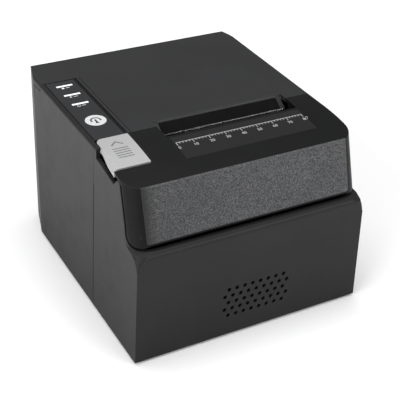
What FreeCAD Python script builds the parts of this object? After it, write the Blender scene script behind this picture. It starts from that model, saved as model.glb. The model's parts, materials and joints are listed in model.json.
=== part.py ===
import FreeCAD, Part
import math
import os

# Desktop receipt printer for 80 mm paper. Millimetres, +Z up, +Y to the rear, front face at -Y.
# The origin is under the middle of the printer, on the surface that it stands on.

# Case
WIDTH = 145.0              # across the case at its foot
DEPTH = 162.0              # front foot to rear face
CASE_HEIGHT = 106.0        # case foot to the top of the paper lid
FOOT_DROP = 1.5            # how far the rubber feet stand out below the case
WALL = 2.5                 # shell thickness
SIDE_DRAFT = 1.2           # lean of the side walls, degrees
FRONT_DRAFT = 0.9          # lean of the lower front wall, degrees
RIM_RADIUS = 2.2           # rounding of the top side edges
REAR_TAPER_IN = 6.0        # how far each side wall comes in at the rear
REAR_TAPER_LENGTH = 23.0   # over what length it does so
SEAM = 57.5                # front foot to the seam between the two shells
SEAM_GAP = 0.3
SHELL_GAP = 0.5            # visible gap round covers

# Cutter cover, measured from the front foot and from the case foot
LIP_HEIGHT = 68.5          # top of the lower front wall
SHOULDER_RADIUS = 3.4      # rounding of the lower front wall's top edge
COVER_GAP = 1.6            # gap under and behind the cutter cover
FACE_LEAN = 16.0           # lean of the cover's face, degrees
COVER_DROP = 4.8           # how far the cover's front edge lies below the paper lid
CORNER_RADIUS = 11.5       # rounding of the cover's front corners
CORNER_BLEND = 12.5        # height over which that rounding runs out below the lip
LID_FRONT = 63.0           # front foot to the front edge of the paper lid
CHEEK_REACH = 15.5         # front foot to the cheek's rear edge at its foot
CHEEK_ROUND = 7.5          # rounding of the cheek's lower rear corner
CHEEK_LEAN = 17.5          # lean of the cheek's rear edge, degrees
LID_SKIRT = 4.0            # visible height of the paper lid's edge
INLAY_THICKNESS = 1.2
INLAY_WRAP = 4.0           # how far the inlay reaches into the corner rounding
INLAY_FOOT = 2.0           # plain band under the inlay
FILM_THICKNESS = 0.15

# Paper slot
SLIT = 60.4                # front foot to the slit's middle
SLIT_WIDTH = 1.6
SLOT_LENGTH = 84.0
SLOT_OFFSET = 11.5         # the slot's middle lies this far right of the printer's middle
SLOT_FRONT = 50.5
SLOT_REAR = 69.8
SLOT_DEPTH = 6.0

# Control strip, lever and button
STRIP_LEFT = 2.1           # from the side wall's top edge to the strip
STRIP_WIDTH = 20.4
STRIP_REAR = 136.0
STRIP_THICKNESS = 2.0
BAR_LENGTH = 10.0
BAR_WIDTH = 1.7
BAR_PLACES = (105.0, 117.0, 129.0)
BUTTON_PLACE = 83.0
BUTTON_RADIUS = 6.0
BUTTON_TRAVEL = 0.6
BUTTON_PROUD = 0.9
LEVER_FRONT = 33.0
LEVER_PIVOT = 55.8         # front foot to the lever's pin
LEVER_PIVOT_DROP = 5.4     # lid top down to the lever's pin
LEVER_PLATE = 2.3
LEVER_SKIRT = 4.6
LEVER_CORNER = 4.0
PIN_RADIUS = 1.0
SCREW_RADIUS = 1.4
SCREW_HEAD = 2.6

# Paper path and mechanism, measured down from the lid top
PLATEN_RADIUS = 6.0
PLATEN_SET = 2.1           # slit's middle to the front of the platen roller
PLATEN_LENGTH = 80.0
PLATEN_DROP = 22.0
SHAFT_RADIUS = 2.0
BUSH_RADIUS = 3.6
FRAME_INSIDE = 46.0        # half the width between the frame's side plates
PLATE = 1.2
FRAME_FRONT = 22.0
FRAME_REAR = 73.5
FRAME_DROP = 15.3
CROSS_PLATE = 43.0
HEAD_GAP = 0.25
HEAD_PIVOT = 56.5
HEAD_PIVOT_DROP = 37.0
SINK_THICKNESS = 5.5

# Gears
FEED_MODULE = 0.5
PLATEN_TEETH = 14
IDLER_TEETH = 60
PINION_TEETH = 16
CUTTER_MODULE = 1.0
CUTTER_TEETH = 20
CUTTER_PINION_TEETH = 10
GEAR_SLACK = 0.12          # added to each pair's centre distance
TOOTH_FILL = 0.8           # a tooth's share of its half pitch
GEAR_WIDTH = 3.0
FEED_MOTOR_WAY = 230.0     # idler to its pinion, degrees from +Y towards +Z
CUTTER_MOTOR_WAY = 215.0   # cutter gear to its pinion, the same way
CUTTER_GEAR_PLACE = 40.0
CUTTER_GEAR_X = 29.5

# Electrics and base
BASE_THICKNESS = 2.5
BOARD_RISE = 5.5           # base plate up to the main board
BOARD_THICKNESS = 1.6
SWITCH_X = -52.0           # middle of the power switch
BUCKET_WALL = 1.5
BUCKET_HALF = 41.5
BUCKET_CENTRE = 56.0       # case foot up to the roll's axis
RELEASE_PLACE = 46.0       # front foot to the print head's release tab
RELEASE_DROP = 19.4        # lid top down to the tab
RELEASE_PLAY = 0.4         # gap between the lever's arm and the tab at rest
GRILLE_RADIUS = 1.3
GRILLE_PITCH = 5.04
GRILLE_ROW = 4.45
GRILLE_X = 2.7
GRILLE_Z = 22.2
HINGE_SET = 6.5            # lid hinge axis, in from the rear face and down from the lid top
HINGE_BOSS = 3.0
RUNNING = 0.05             # radial clearance of pins and shafts in their holes
FIT = 0.3                  # clearance of parts that sit beside each other

half_width = WIDTH / 2
top = FOOT_DROP + CASE_HEIGHT
front = -DEPTH / 2
rear = DEPTH / 2
lip = FOOT_DROP + LIP_HEIGHT
cover_foot = lip + COVER_GAP
cover_top = top - COVER_DROP
strip_left = -half_width + math.tan(math.radians(SIDE_DRAFT)) * CASE_HEIGHT + STRIP_LEFT
strip_right = strip_left + STRIP_WIDTH
strip_middle = (strip_left + strip_right) / 2
slot_left = SLOT_OFFSET - SLOT_LENGTH / 2
slot_right = SLOT_OFFSET + SLOT_LENGTH / 2
base_top = FOOT_DROP + BASE_THICKNESS
platen_y = front + SLIT + PLATEN_RADIUS + PLATEN_SET
platen_z = top - PLATEN_DROP
hinge_y = rear - HINGE_SET
hinge_z = top - HINGE_SET
hinge_radius = HINGE_SET * math.sqrt(2) + 0.06
hinge_x = half_width - REAR_TAPER_IN - WALL - 4.5
lever_y = front + LEVER_PIVOT
lever_z = top - LEVER_PIVOT_DROP
frame_out = FRAME_INSIDE + PLATE
frame_top = top - FRAME_DROP
board_top = base_top + BOARD_RISE + BOARD_THICKNESS
bucket_radius = (DEPTH - WALL - FRAME_REAR) / 2 - FIT
bucket_y = front + FRAME_REAR + FIT + bucket_radius
bucket_z = FOOT_DROP + BUCKET_CENTRE
gear_x = -frame_out - 2.0 - GEAR_WIDTH


# ---------------------------------------------------------------- helpers

def vec(x, y, z):
    return FreeCAD.Vector(x, y, z)


def box(x0, x1, y0, y1, z0, z1):
    return Part.makeBox(x1 - x0, y1 - y0, z1 - z0, vec(x0, y0, z0))


def rod_x(x0, x1, y, z, radius):
    return Part.makeCylinder(radius, x1 - x0, vec(x0, y, z), vec(1, 0, 0))


def rod_y(x, y0, y1, z, radius):
    return Part.makeCylinder(radius, y1 - y0, vec(x, y0, z), vec(0, 1, 0))


def rod_z(x, y, z0, z1, radius):
    return Part.makeCylinder(radius, z1 - z0, vec(x, y, z0), vec(0, 0, 1))


def outline(place, start, steps):
    """Closed wire; a step is a point, or a (mid, end) pair of points for an arc."""
    edges = []
    here = start
    for step in list(steps) + [start]:
        if isinstance(step[0], tuple):
            mid, end = step
            edges.append(Part.Arc(place(*here), place(*mid), place(*end)).toShape())
            here = end
        elif step != here:
            edges.append(Part.makeLine(place(*here), place(*step)))
            here = step
    return Part.Wire(edges)


def prism_x(x0, x1, start, *steps):
    wire = outline(lambda y, z: vec(x0, y, z), start, steps)
    return Part.Face(wire).extrude(vec(x1 - x0, 0, 0))


def prism_y(y0, y1, start, *steps):
    wire = outline(lambda x, z: vec(x, y0, z), start, steps)
    return Part.Face(wire).extrude(vec(0, y1 - y0, 0))


def prism_z(z0, z1, start, *steps):
    wire = outline(lambda x, y: vec(x, y, z0), start, steps)
    return Part.Face(wire).extrude(vec(0, 0, z1 - z0))


def fused(first, *others):
    return first.fuse(list(others)).removeSplitter()


def arc_point(centre, radius, degrees):
    turn = math.radians(degrees)
    return (centre[0] + radius * math.cos(turn), centre[1] + radius * math.sin(turn))


def side_x(z):
    """Half width of the outside at height z."""
    return half_width - math.tan(math.radians(SIDE_DRAFT)) * (z - FOOT_DROP)


def face_y(z):
    """Where the cutter cover's leaning face lies at height z."""
    foot = front + math.tan(math.radians(FRONT_DRAFT)) * LIP_HEIGHT + SHOULDER_RADIUS
    return foot + math.tan(math.radians(FACE_LEAN)) * (z - lip)


def crown_z(y, below=0.0):
    """Height of the cover's crowned top at y; it meets the lid level."""
    run = front + LID_FRONT - face_y(cover_top)
    radius = (run * run + COVER_DROP * COVER_DROP) / (2 * COVER_DROP)
    reach = max(front + LID_FRONT - y, 0.0)
    return top - radius + math.sqrt(radius * radius - reach * reach) - below


def gear(teeth, module, width, x, y, z, phase, bore):
    """Spur gear along X from x, with a tooth at the angle phase (degrees, from +Y to +Z)."""
    pitch = module * teeth / 2
    tip = pitch + 0.9 * module
    root = pitch - 1.15 * module
    step = 360.0 / teeth
    half = step / 4 * TOOTH_FILL
    points = []
    for tooth in range(teeth):
        middle = phase + tooth * step
        for radius, share in ((root, -1.45), (pitch, -1.0), (tip, -0.5),
                              (tip, 0.5), (pitch, 1.0), (root, 1.45)):
            points.append(arc_point((y, z), radius, middle + share * half))
    body = prism_x(x, x + width, points[0], *points[1:])
    return body.cut(rod_x(x - 1, x + width + 1, y, z, bore))


def meshed_phase(phase, teeth, other_teeth, direction):
    """Phase of the gear that lies in the given direction from a gear of known phase."""
    step = 360.0 / teeth
    ahead = (phase - direction + step / 2) % step - step / 2
    return direction + 180.0 - ahead * teeth / other_teeth + 180.0 / other_teeth


def coil(x, y, z, radius, wire, length, turns, axis):
    """Compression spring from the point (x, y, z) along the axis."""
    path = Part.makeHelix((length - 2 * wire) / turns, length - 2 * wire, radius)
    ring = Part.makeCircle(wire, vec(radius, 0, 0), vec(0, 1, 0))
    spring = Part.Wire(path).makePipeShell([Part.Wire(ring)], True, True)
    spring.translate(vec(0, 0, wire))
    spring.Placement = FreeCAD.Placement(vec(x, y, z), FreeCAD.Rotation(vec(0, 0, 1), axis)) \
        .multiply(spring.Placement)
    return spring


# ---------------------------------------------------------------- outside form

def corner_section(sign, z, radius, inset):
    """What a rounded front corner leaves out of a square one, at height z."""
    rise = min(max(z - (lip - SHOULDER_RADIUS), 0.0), SHOULDER_RADIUS)
    below_lip = front + math.tan(math.radians(FRONT_DRAFT)) * (z - FOOT_DROP)
    below_lip += SHOULDER_RADIUS - math.sqrt(SHOULDER_RADIUS ** 2 - rise ** 2)
    y = (face_y(z) if z > lip else below_lip) + inset
    x = side_x(z) - inset
    spare = 3.0 + inset
    bend = radius * (1 - math.sqrt(0.5))
    wire = outline(lambda a, b: vec(sign * a, b, z), (x, y + radius),
                   [((x - bend, y + bend), (x - radius, y)), (x - radius, y - spare),
                    (x + spare, y - spare), (x + spare, y + radius)])
    return wire


def corner_cutters(inset):
    radius = CORNER_RADIUS - inset
    cutters = []
    for sign in (-1, 1):
        blend = []
        for turn in (16, 34, 52, 70, 90):
            share = 1 - math.cos(math.radians(turn))
            height = lip - CORNER_BLEND * (1 - math.sin(math.radians(turn)))
            blend.append(corner_section(sign, height, radius * share, inset))
        cutters.append(Part.makeLoft(blend, True, True))
        upper = [corner_section(sign, z, radius, inset) for z in (lip, top + 4)]
        cutters.append(Part.makeLoft(upper, True, True))
    return cutters


def envelope(inset):
    """The printer's outside form, or its inside face when inset is the wall."""
    low = FOOT_DROP - (5.0 if inset else 0.0)
    lean = math.tan(math.radians(FRONT_DRAFT))
    shoulder_y = front + lean * (LIP_HEIGHT - SHOULDER_RADIUS) + inset
    lip_y = face_y(lip) + inset
    centre = (lip_y, lip - SHOULDER_RADIUS)
    bend = arc_point((shoulder_y + SHOULDER_RADIUS, centre[1]), SHOULDER_RADIUS, 135)
    crest_y = face_y(cover_top) + inset
    middle_y = (crest_y + front + LID_FRONT) / 2
    side = prism_x(-half_width - 5, half_width + 5,
                   (front + inset, low), (shoulder_y, centre[1]), (bend, (lip_y, lip)),
                   (crest_y, crown_z(crest_y, inset)),
                   ((middle_y, crown_z(middle_y, inset)), (front + LID_FRONT, top - inset)),
                   (rear - inset, top - inset), (rear - inset, low))
    x_foot = side_x(low) - inset
    x_top = side_x(top) - inset
    rim = 0.01 if inset else RIM_RADIUS
    x_rim = side_x(top - rim) - inset
    knee = rim * (1 - math.sqrt(0.5))
    across = prism_y(front - 5, rear + 5,
                     (-x_foot, low), (-x_rim, top - rim),
                     ((-x_top + knee, top - knee), (-x_top + rim, top)),
                     (x_top - rim, top), ((x_top - knee, top - knee), (x_rim, top - rim)),
                     (x_foot, low))
    bend_y = rear - REAR_TAPER_LENGTH
    wide = half_width + 0.5 - inset
    tail = half_width - REAR_TAPER_IN - inset
    plan = prism_z(low - 5, top + 5,
                   (-wide, front - 5), (wide, front - 5), (wide, bend_y - 0.5), (tail, rear),
                   (tail, rear + 5), (-tail, rear + 5), (-tail, rear), (-wide, bend_y - 0.5))
    form = side.common(across).common(plan)
    for cutter in corner_cutters(inset):
        form = form.cut(cutter)
    return form


def cover_zone(grow):
    """Space of the cutter cover seen from the side; grow widens it by the gap."""
    low = cover_foot - grow
    reach = front + CHEEK_REACH + grow
    lean = math.tan(math.radians(CHEEK_LEAN))
    radius = CHEEK_ROUND + grow
    bend = radius * (1 - math.sqrt(0.5))
    knee_z = cover_top - 1.0
    knee_y = reach + lean * (knee_z - low - radius)
    cheeks = prism_x(-half_width - 5, half_width + 5,
                     (front - 20, low), (reach - radius, low),
                     ((reach - bend, low + bend), (reach, low + radius)),
                     (knee_y, knee_z), (front + LEVER_FRONT - FIT + grow, top - 1.5),
                     (front + LEVER_FRONT - FIT + grow, top + 5), (front - 20, top + 5))
    plate = box(strip_right - grow, half_width + 5, front + LEVER_FRONT - 15,
                front + LID_FRONT - SHELL_GAP + grow, top - LID_SKIRT - grow, top + 5)
    return cheeks.fuse(plate)


def lid_zone(grow):
    """Space of the paper lid, to the right of the control strip and behind it."""
    low = top - LID_SKIRT - grow
    main = box(strip_right - grow, half_width + 5, front + LID_FRONT - grow, rear + 5, low, top + 5)
    behind = box(-half_width - 5, half_width, front + STRIP_REAR + SHELL_GAP - grow, rear + 5,
                 low, top + 5)
    knuckle = rod_x(-half_width - 5, half_width + 5, hinge_y, hinge_z, hinge_radius + grow)
    return main.fuse([behind, knuckle])


def trough():
    """The paper slot's tapering trough and its slit."""
    y0 = front + SLOT_FRONT
    y1 = front + SLOT_REAR
    slit0 = front + SLIT - SLIT_WIDTH / 2
    slit1 = front + SLIT + SLIT_WIDTH / 2
    floor = top - SLOT_DEPTH
    return prism_x(slot_left, slot_right, (y0, top + 2), (y0, top - 1.2), (slit0, floor),
                   (slit0, floor - 8), (slit1, floor - 8), (slit1, floor), (y1 - 1.5, top - 1.5),
                   (y1, top + 2))


# ---------------------------------------------------------------- case

def wall_ledge():
    """Floor of the finger recess, its web and the rib that carries the lever's pin."""
    ledge_z = top - 18.0
    ledge = box(-side_x(ledge_z) + 1, strip_right - 9.2, front + 27, front + SEAM - SEAM_GAP,
                ledge_z, ledge_z + 1.5)
    web = box(-side_x(ledge_z) + 1, strip_right - 1.2, lever_y + 0.4, front + SEAM - SEAM_GAP,
              ledge_z, top - 8.4)
    rib = box(strip_right - 3.2, strip_right - 1.2, lever_y - 2.5, front + SEAM - SEAM_GAP,
              ledge_z, lever_z + 1.9)
    return [ledge, web, rib]


def recess_cut():
    """Opening in the left wall under the lever."""
    return prism_x(-half_width - 5, -side_x(top) + WALL + 0.6,
                   (front + 55.0, top + 5), (front + 54.0, top - 6.2),
                   (front + 31.5, top - 9.6), (front + 27.0, top - 4.6), (front + 27.0, top + 5))


def grille_holes():
    holes = []
    for row in range(5):
        count = 8 + row % 2
        z = FOOT_DROP + GRILLE_Z + (2 - row) * GRILLE_ROW
        for column in range(count):
            x = GRILLE_X + (column - (count - 1) / 2) * GRILLE_PITCH
            holes.append(rod_y(x, front - 5, front + 10, z, GRILLE_RADIUS))
    return holes


def front_case(outer, inner):
    shell = outer.cut(inner)
    shell = shell.common(box(-half_width - 5, half_width + 5, front - 5, front + SEAM - SEAM_GAP,
                             0, top + 5))
    shell = shell.cut(cover_zone(COVER_GAP)).cut(recess_cut())
    shell = shell.cut(box(strip_left + 0.4, half_width + 5, front - 5, front + SEAM,
                          top - 5.0, top + 5))
    shell = shell.fuse(wall_ledge())
    shell = shell.cut(rod_x(-half_width, strip_right + 2, lever_y, lever_z, PIN_RADIUS + RUNNING)
                      .common(box(-side_x(top) + 1.2, strip_right + 2, front, rear, 0, top)))
    shell = shell.fuse(cover_lugs() + screw_bosses(front + 34))
    return shell.cut(Part.makeCompound(grille_holes())).removeSplitter()


def cover_lugs():
    """The two lugs on the front case that carry the cutter cover's pins."""
    y, z = cover_axis()
    x = lug_x()
    boss = rod_x(x - 2.0, x, y, z, 2.6)
    arm = box(x - 2.0, x, y, y + 9.5, z - 2.4, z + 2.4)
    leg = box(x - 2.0, x, y + 6.5, y + 9.5, lip - 14, z)
    foot = box(x - 2.0, side_x(lip) - WALL + 0.5, y + 6.5, y + 9.5, lip - 14, lip - 8)
    lug = fused(boss, arm, leg, foot).cut(rod_x(x - 5, x + 5, y, z, PIN_RADIUS + RUNNING))
    return [lug, lug.mirror(vec(0, 0, 0), vec(1, 0, 0))]


def lug_x():
    """Outer face of the cutter cover's lugs."""
    return side_x(lip) - WALL - 3.2


def cover_axis():
    """The cutter cover's hinge line, as (y, z)."""
    return (face_y(cover_foot + 4.6) + 5.0, cover_foot + 4.6)


def socket_windows():
    """Windows in the rear wall, for power, data, network and drawer: middle x, half width, low z, high z."""
    return ((-30.0, 5.6, board_top, board_top + 11.2),
            (-8.0, 6.1, board_top, board_top + 11.0),
            (14.0, 8.0, board_top, board_top + 13.4),
            (36.0, 6.7, board_top, board_top + 13.0))


def rear_case(outer, inner):
    shell = outer.cut(inner)
    shell = shell.common(box(-half_width - 5, half_width + 5, front + SEAM, rear + 5, 0, top + 5))
    deck = box(-side_x(top) + 1, strip_right - SHELL_GAP, front + SEAM, front + STRIP_REAR + 1,
               top - STRIP_THICKNESS - 2.2, top - STRIP_THICKNESS)
    shell = shell.cut(box(strip_left - 0.2, strip_right + 20, front + SEAM - 1,
                          front + STRIP_REAR + 0.2, top - STRIP_THICKNESS, top + 1))
    shell = shell.fuse(deck.common(outer))
    shell = shell.cut(lid_zone(SHELL_GAP)).cut(cover_zone(SHELL_GAP))
    shell = shell.cut(box(-side_x(top) + WALL, strip_right + 5, front + SEAM - 1,
                          front + LID_FRONT, top - 8.0, top + 1))
    for place in BAR_PLACES:
        shell = shell.cut(box(strip_middle - BAR_LENGTH / 2 - 0.3, strip_middle + BAR_LENGTH / 2 + 0.3,
                              front + place - BAR_WIDTH / 2 - 0.3, front + place + BAR_WIDTH / 2 + 0.3,
                              top - 6, top))
    shell = shell.cut(rod_z(strip_middle, front + BUTTON_PLACE, top - 6, top, 2.2))
    for x, half, z0, z1 in socket_windows():
        shell = shell.cut(box(x - half - FIT, x + half + FIT, rear - WALL - 1, rear + 1,
                              z0 - FIT, z1 + FIT))
    shell = shell.cut(box(*switch_box(FIT)))
    shell = shell.fuse([piece.common(outer) for piece in hinge_lugs()] + screw_bosses(rear - 38))
    return shell.removeSplitter()


def hinge_lugs():
    """The two lugs on the rear case that carry the paper lid's pins."""
    x = hinge_x
    boss = rod_x(x - 5.0, x, hinge_y, hinge_z, HINGE_BOSS)
    beam = box(x - 5.0, x, hinge_y - 14, hinge_y, hinge_z - HINGE_BOSS, hinge_z + 1.5)
    block = box(x - 5.0, half_width - WALL - 1.5, hinge_y - 14, hinge_y - 10.5,
                hinge_z - 6, hinge_z + 1.5)
    lug = fused(boss, beam, block)
    lug = lug.cut(rod_x(0, half_width, hinge_y, hinge_z, PIN_RADIUS + 0.5 + RUNNING))
    return [lug, lug.mirror(vec(0, 0, 0), vec(1, 0, 0))]


def switch_box(grow):
    """Lowest and highest x, y and z of the power switch, grown for the hole in the case."""
    x = SWITCH_X
    return (x - 6.5 - grow, x + 6.5 + grow, rear - WALL - 12, rear + (1 if grow else 0),
            board_top + 1 - grow, board_top + 20 + grow)


def base_tray(inner):
    plate = inner.common(box(-half_width, half_width, front, rear, FOOT_DROP, base_top))
    plate = plate.common(box(-half_width + WALL + FIT, half_width - WALL - FIT,
                             front + WALL + FIT, rear - WALL - FIT, 0, top))
    parts = [plate]
    for x, y in board_posts():
        parts.append(rod_z(x, y, base_top - 1, base_top + BOARD_RISE, 2.6))
    for x, y in bucket_posts():
        parts.append(rod_z(x, y, base_top - 1, bucket_foot(y) + 1.0, 3.0))
    tray = fused(*parts)
    for x, y in foot_places():
        tray = tray.cut(rod_z(x, y, 0, FOOT_DROP + 1.0 + 0.01, 3.1))
    for x, y in screw_places():
        tray = tray.cut(rod_z(x, y, 0, FOOT_DROP + 1.9, SCREW_HEAD + 0.1))
        tray = tray.cut(rod_z(x, y, 0, base_top + 1, SCREW_RADIUS + RUNNING))
    trough_under = rod_x(-half_width, half_width, bucket_y, bucket_z, bucket_radius + RUNNING)
    return tray.cut(trough_under)


def foot_places():
    x = half_width - 16
    return [(sx * x, sy * (DEPTH / 2 - 18)) for sx in (-1, 1) for sy in (-1, 1)]


def screw_places():
    x = half_width - 8.0
    return [(sx * x, y) for sx in (-1, 1) for y in (front + 34, rear - 38)]


def screw_bosses(y):
    """Bosses on both side walls for the base screws, at y."""
    bosses = []
    for x, place_y in screw_places():
        if place_y == y:
            boss = rod_z(x, y, base_top + 0.1, base_top + 9.0, 3.4)
            x0, x1 = sorted((x, math.copysign(half_width - WALL - 0.2, x)))
            boss = boss.fuse(box(x0, x1, y - 1.2, y + 1.2, base_top + 0.1, base_top + 9.0))
            bosses.append(boss.cut(rod_z(x, y, base_top, base_top + 6.5, SCREW_RADIUS + 0.02)))
    return bosses


def board_posts():
    return [(x, rear - d) for x in (-49.0, 49.0) for d in (12.0, 52.0)]


def bucket_posts():
    return [(SLOT_OFFSET + side * (BUCKET_HALF - 8), bucket_y - bucket_radius + 12)
            for side in (-1, 1)]


def bucket_foot(y):
    reach = y - bucket_y
    return bucket_z - math.sqrt(bucket_radius ** 2 - reach ** 2)


def rubber_feet():
    feet = []
    for x, y in foot_places():
        feet.append(fused(rod_z(x, y, 0, FOOT_DROP, 7.0), rod_z(x, y, 0.5, FOOT_DROP + 1.0, 3.0)))
    return Part.makeCompound(feet)


def case_screws():
    screws = []
    for x, y in screw_places():
        screws.append(fused(rod_z(x, y, FOOT_DROP + 0.4, FOOT_DROP + 1.9, SCREW_HEAD),
                            rod_z(x, y, FOOT_DROP + 0.4, base_top + 6.0, SCREW_RADIUS)))
    return Part.makeCompound(screws)


# ---------------------------------------------------------------- cutter cover

def face_slab(depth0, depth1, z0, z1, reach):
    """Slab between two depths behind the cover's face, out to reach on each side."""
    slab = prism_x(-reach, reach, (face_y(z0) + depth0, z0), (face_y(z1) + depth0, z1),
                   (face_y(z1) + depth1, z1), (face_y(z0) + depth1, z0))
    return slab


def inlay_space(outer, grow):
    reach = half_width - CORNER_RADIUS + INLAY_WRAP - 2.0 + grow
    slab = face_slab(-3.0, INLAY_THICKNESS + grow * 0.5, cover_foot + INLAY_FOOT - grow,
                     cover_top + 6, reach)
    return slab.common(outer)


def cutter_cover(outer, inner):
    shell = outer.cut(inner).common(cover_zone(0.0))
    y, z = cover_axis()
    foot = face_y(cover_foot)
    rounding = 2.0
    edge = prism_x(-half_width, half_width, (foot - 3, cover_foot - 1), (foot + rounding, cover_foot - 1),
                   (foot + rounding, cover_foot),
                   ((foot + 0.7, cover_foot + 0.6), (face_y(cover_foot + rounding), cover_foot + rounding)),
                   (foot - 3, cover_foot + rounding))
    shell = shell.cut(edge)
    block = box(slot_left - 1.5, slot_right + 1.5, front + SLOT_FRONT - 3,
                front + SLIT - SLIT_WIDTH / 2, top - SLOT_DEPTH - 1.5, top - 1.5)
    shell = shell.fuse(block.common(outer)).cut(trough())
    shell = shell.cut(inlay_space(outer, 0.0)).cut(film_space(FIT / 2))
    for sign in (-1, 1):
        x0 = lug_x() - 5.2
        ear = fused(rod_x(x0, x0 + 2.8, y, z, 2.6),
                    box(x0, x0 + 2.8, face_y(z) + 2.2, y, z - 2.6, z + 2.6))
        ear = ear.cut(rod_x(x0 - 1, x0 + 5, y, z, PIN_RADIUS))
        pocket = fused(rod_x(lug_x() - 2.4, lug_x() + 0.4, y, z, 3.0),
                       box(lug_x() - 2.4, lug_x() + 0.4, y, y + 14, z - 3, z + 3))
        if sign < 0:
            ear = ear.mirror(vec(0, 0, 0), vec(1, 0, 0))
            pocket = pocket.mirror(vec(0, 0, 0), vec(1, 0, 0))
        shell = shell.cut(pocket).fuse(ear.common(outer))
    return shell.removeSplitter()


def front_inlay(outer):
    inlay = inlay_space(outer, 0.0)
    face = face_slab(0.05, INLAY_THICKNESS, cover_foot + INLAY_FOOT + 0.1, cover_top + 6,
                     half_width)
    return inlay.common(face)


def film_space(grow):
    """The notice film lies in a shallow recess in front of the slot."""
    y0 = front + SLOT_FRONT - 22.0
    y1 = front + SLOT_FRONT - 2.2
    middle = (y0 + y1) / 2
    x0 = slot_left + 1.0 - grow
    x1 = slot_right - 1.0 + grow
    depth = FILM_THICKNESS
    return prism_x(x0, x1, (y0 - grow, crown_z(y0 - grow, depth)),
                   ((middle, crown_z(middle, depth)), (y1 + grow, crown_z(y1 + grow, depth))),
                   (y1 + grow, crown_z(y1 + grow)),
                   ((middle, crown_z(middle)), (y0 - grow, crown_z(y0 - grow))))


def cover_pins():
    y, z = cover_axis()
    pin = rod_x(lug_x() - 6.5, lug_x() - 0.3, y, z, PIN_RADIUS)
    return Part.makeCompound([pin, pin.mirror(vec(0, 0, 0), vec(1, 0, 0))])


# ---------------------------------------------------------------- paper lid

def paper_lid(outer, inner):
    lid = outer.cut(inner).common(lid_zone(0.0))
    tongue = box(slot_left + SHELL_GAP, slot_right - SHELL_GAP, front + SLIT + SLIT_WIDTH / 2,
                 front + SLOT_REAR + 3, top - SLOT_DEPTH - 1.5, top - 1.5)
    lid = lid.fuse(tongue).cut(trough())
    groove = box(strip_right + 1.6, strip_right + 2.2, front + LID_FRONT - 1, front + STRIP_REAR,
                 top - 0.5, top + 1)
    lid = lid.cut(groove)
    for sign in (-1, 1):
        ear = fused(rod_x(hinge_x + 0.4, hinge_x + 3.6, hinge_y, hinge_z, HINGE_BOSS),
                    box(hinge_x + 0.4, hinge_x + 3.6, hinge_y - HINGE_BOSS, hinge_y + HINGE_BOSS,
                        hinge_z, top - 1.0))
        ear = ear.cut(rod_x(0, half_width, hinge_y, hinge_z, PIN_RADIUS + 0.5))
        lid = lid.fuse(ear if sign > 0 else ear.mirror(vec(0, 0, 0), vec(1, 0, 0)))
    return lid.removeSplitter()


def lid_pins():
    pin = rod_x(hinge_x - 5.5, hinge_x + 3.6, hinge_y, hinge_z, PIN_RADIUS + 0.5)
    return Part.makeCompound([pin, pin.mirror(vec(0, 0, 0), vec(1, 0, 0))])


def lid_liner():
    """Ribbed inner frame of the lid; its two arms carry the platen's bushes."""
    x0 = strip_right + 5.0
    x1 = half_width - WALL - 7.0
    y0 = front + SLOT_REAR + 4.5
    y1 = hinge_y - 18.0
    z1 = top - WALL
    frame = box(x0, x1, y0, y1, z1 - 3.0, z1)
    columns = 4
    rows = 3
    for column in range(columns):
        for row in range(rows):
            width = (x1 - x0 - 1.6) / columns
            depth = (y1 - y0 - 1.6) / rows
            cx = x0 + 1.6 + column * width
            cy = y0 + 1.6 + row * depth
            frame = frame.cut(box(cx, cx + width - 1.6, cy, cy + depth - 1.6, z1 - 4, z1 - 1.0))
    parts = [frame]
    for sign in (-1, 1):
        x = SLOT_OFFSET + sign * (PLATEN_LENGTH / 2 + 3.4)
        parts.append(prism_x(x - 1.2, x + 1.2, (platen_y - 4.3, platen_z - 1.0),
                             (platen_y - 2.5, platen_z - 4.8), (platen_y + 5.5, platen_z - 5),
                             (y0 + 12, z1 - 1.0), (y0 - 1.0, z1 - 1.0), (y0 - 1.0, top - 11.0),
                             (platen_y + 1.0, top - 14.5), (platen_y - 4.3, platen_z + 5)))
    liner = fused(*parts)
    return liner.cut(rod_x(-half_width, half_width, platen_y, platen_z, BUSH_RADIUS))


def fixed_blade():
    """Fixed cutter blade with the tear edge, under the lid's front edge."""
    y0 = front + SLIT + SLIT_WIDTH / 2 + 0.1
    z0 = top - 12.6
    half = PLATEN_LENGTH / 2 + 1.0
    return box(-half, half, y0, y0 + 9.0, z0, z0 + 1.0)


def blade_holder():
    """Clamp that hangs the fixed blade from the lid's tongue."""
    y0 = front + SLIT + SLIT_WIDTH / 2 + 2.0
    return fused(box(slot_left + 3, slot_right - 3, y0, y0 + 4.0, top - 11.6, top - SLOT_DEPTH - 1.5),
                 box(slot_left + 3, slot_right - 3, y0, y0 + 9.0, top - 11.6, top - 10.4))


def tear_edge():
    """Toothed metal strip along the slit, on the lid's side of the slot."""
    y0 = front + SLIT + SLIT_WIDTH / 2
    z0 = top - SLOT_DEPTH
    strip = box(slot_left + 2.5, slot_right - 2.5, y0 - 0.5, y0 - 0.02, z0 - 1.4, z0 + 0.8)
    teeth = 52
    pitch = (SLOT_LENGTH - 5.0) / teeth
    notches = []
    for tooth in range(teeth):
        x = slot_left + 2.5 + tooth * pitch
        notches.append(prism_y(y0 - 1, y0 + 1, (x, z0 + 1.2), (x + pitch / 2, z0 + 0.1),
                               (x + pitch, z0 + 1.2)))
    return strip.cut(Part.makeCompound(notches))


def platen_shaft():
    return rod_x(gear_x - 1.0, frame_out + 1.5, platen_y, platen_z, SHAFT_RADIUS)


def platen_rubber():
    half = PLATEN_LENGTH / 2
    return rod_x(-half, half, platen_y, platen_z, PLATEN_RADIUS).cut(platen_shaft())


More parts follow.
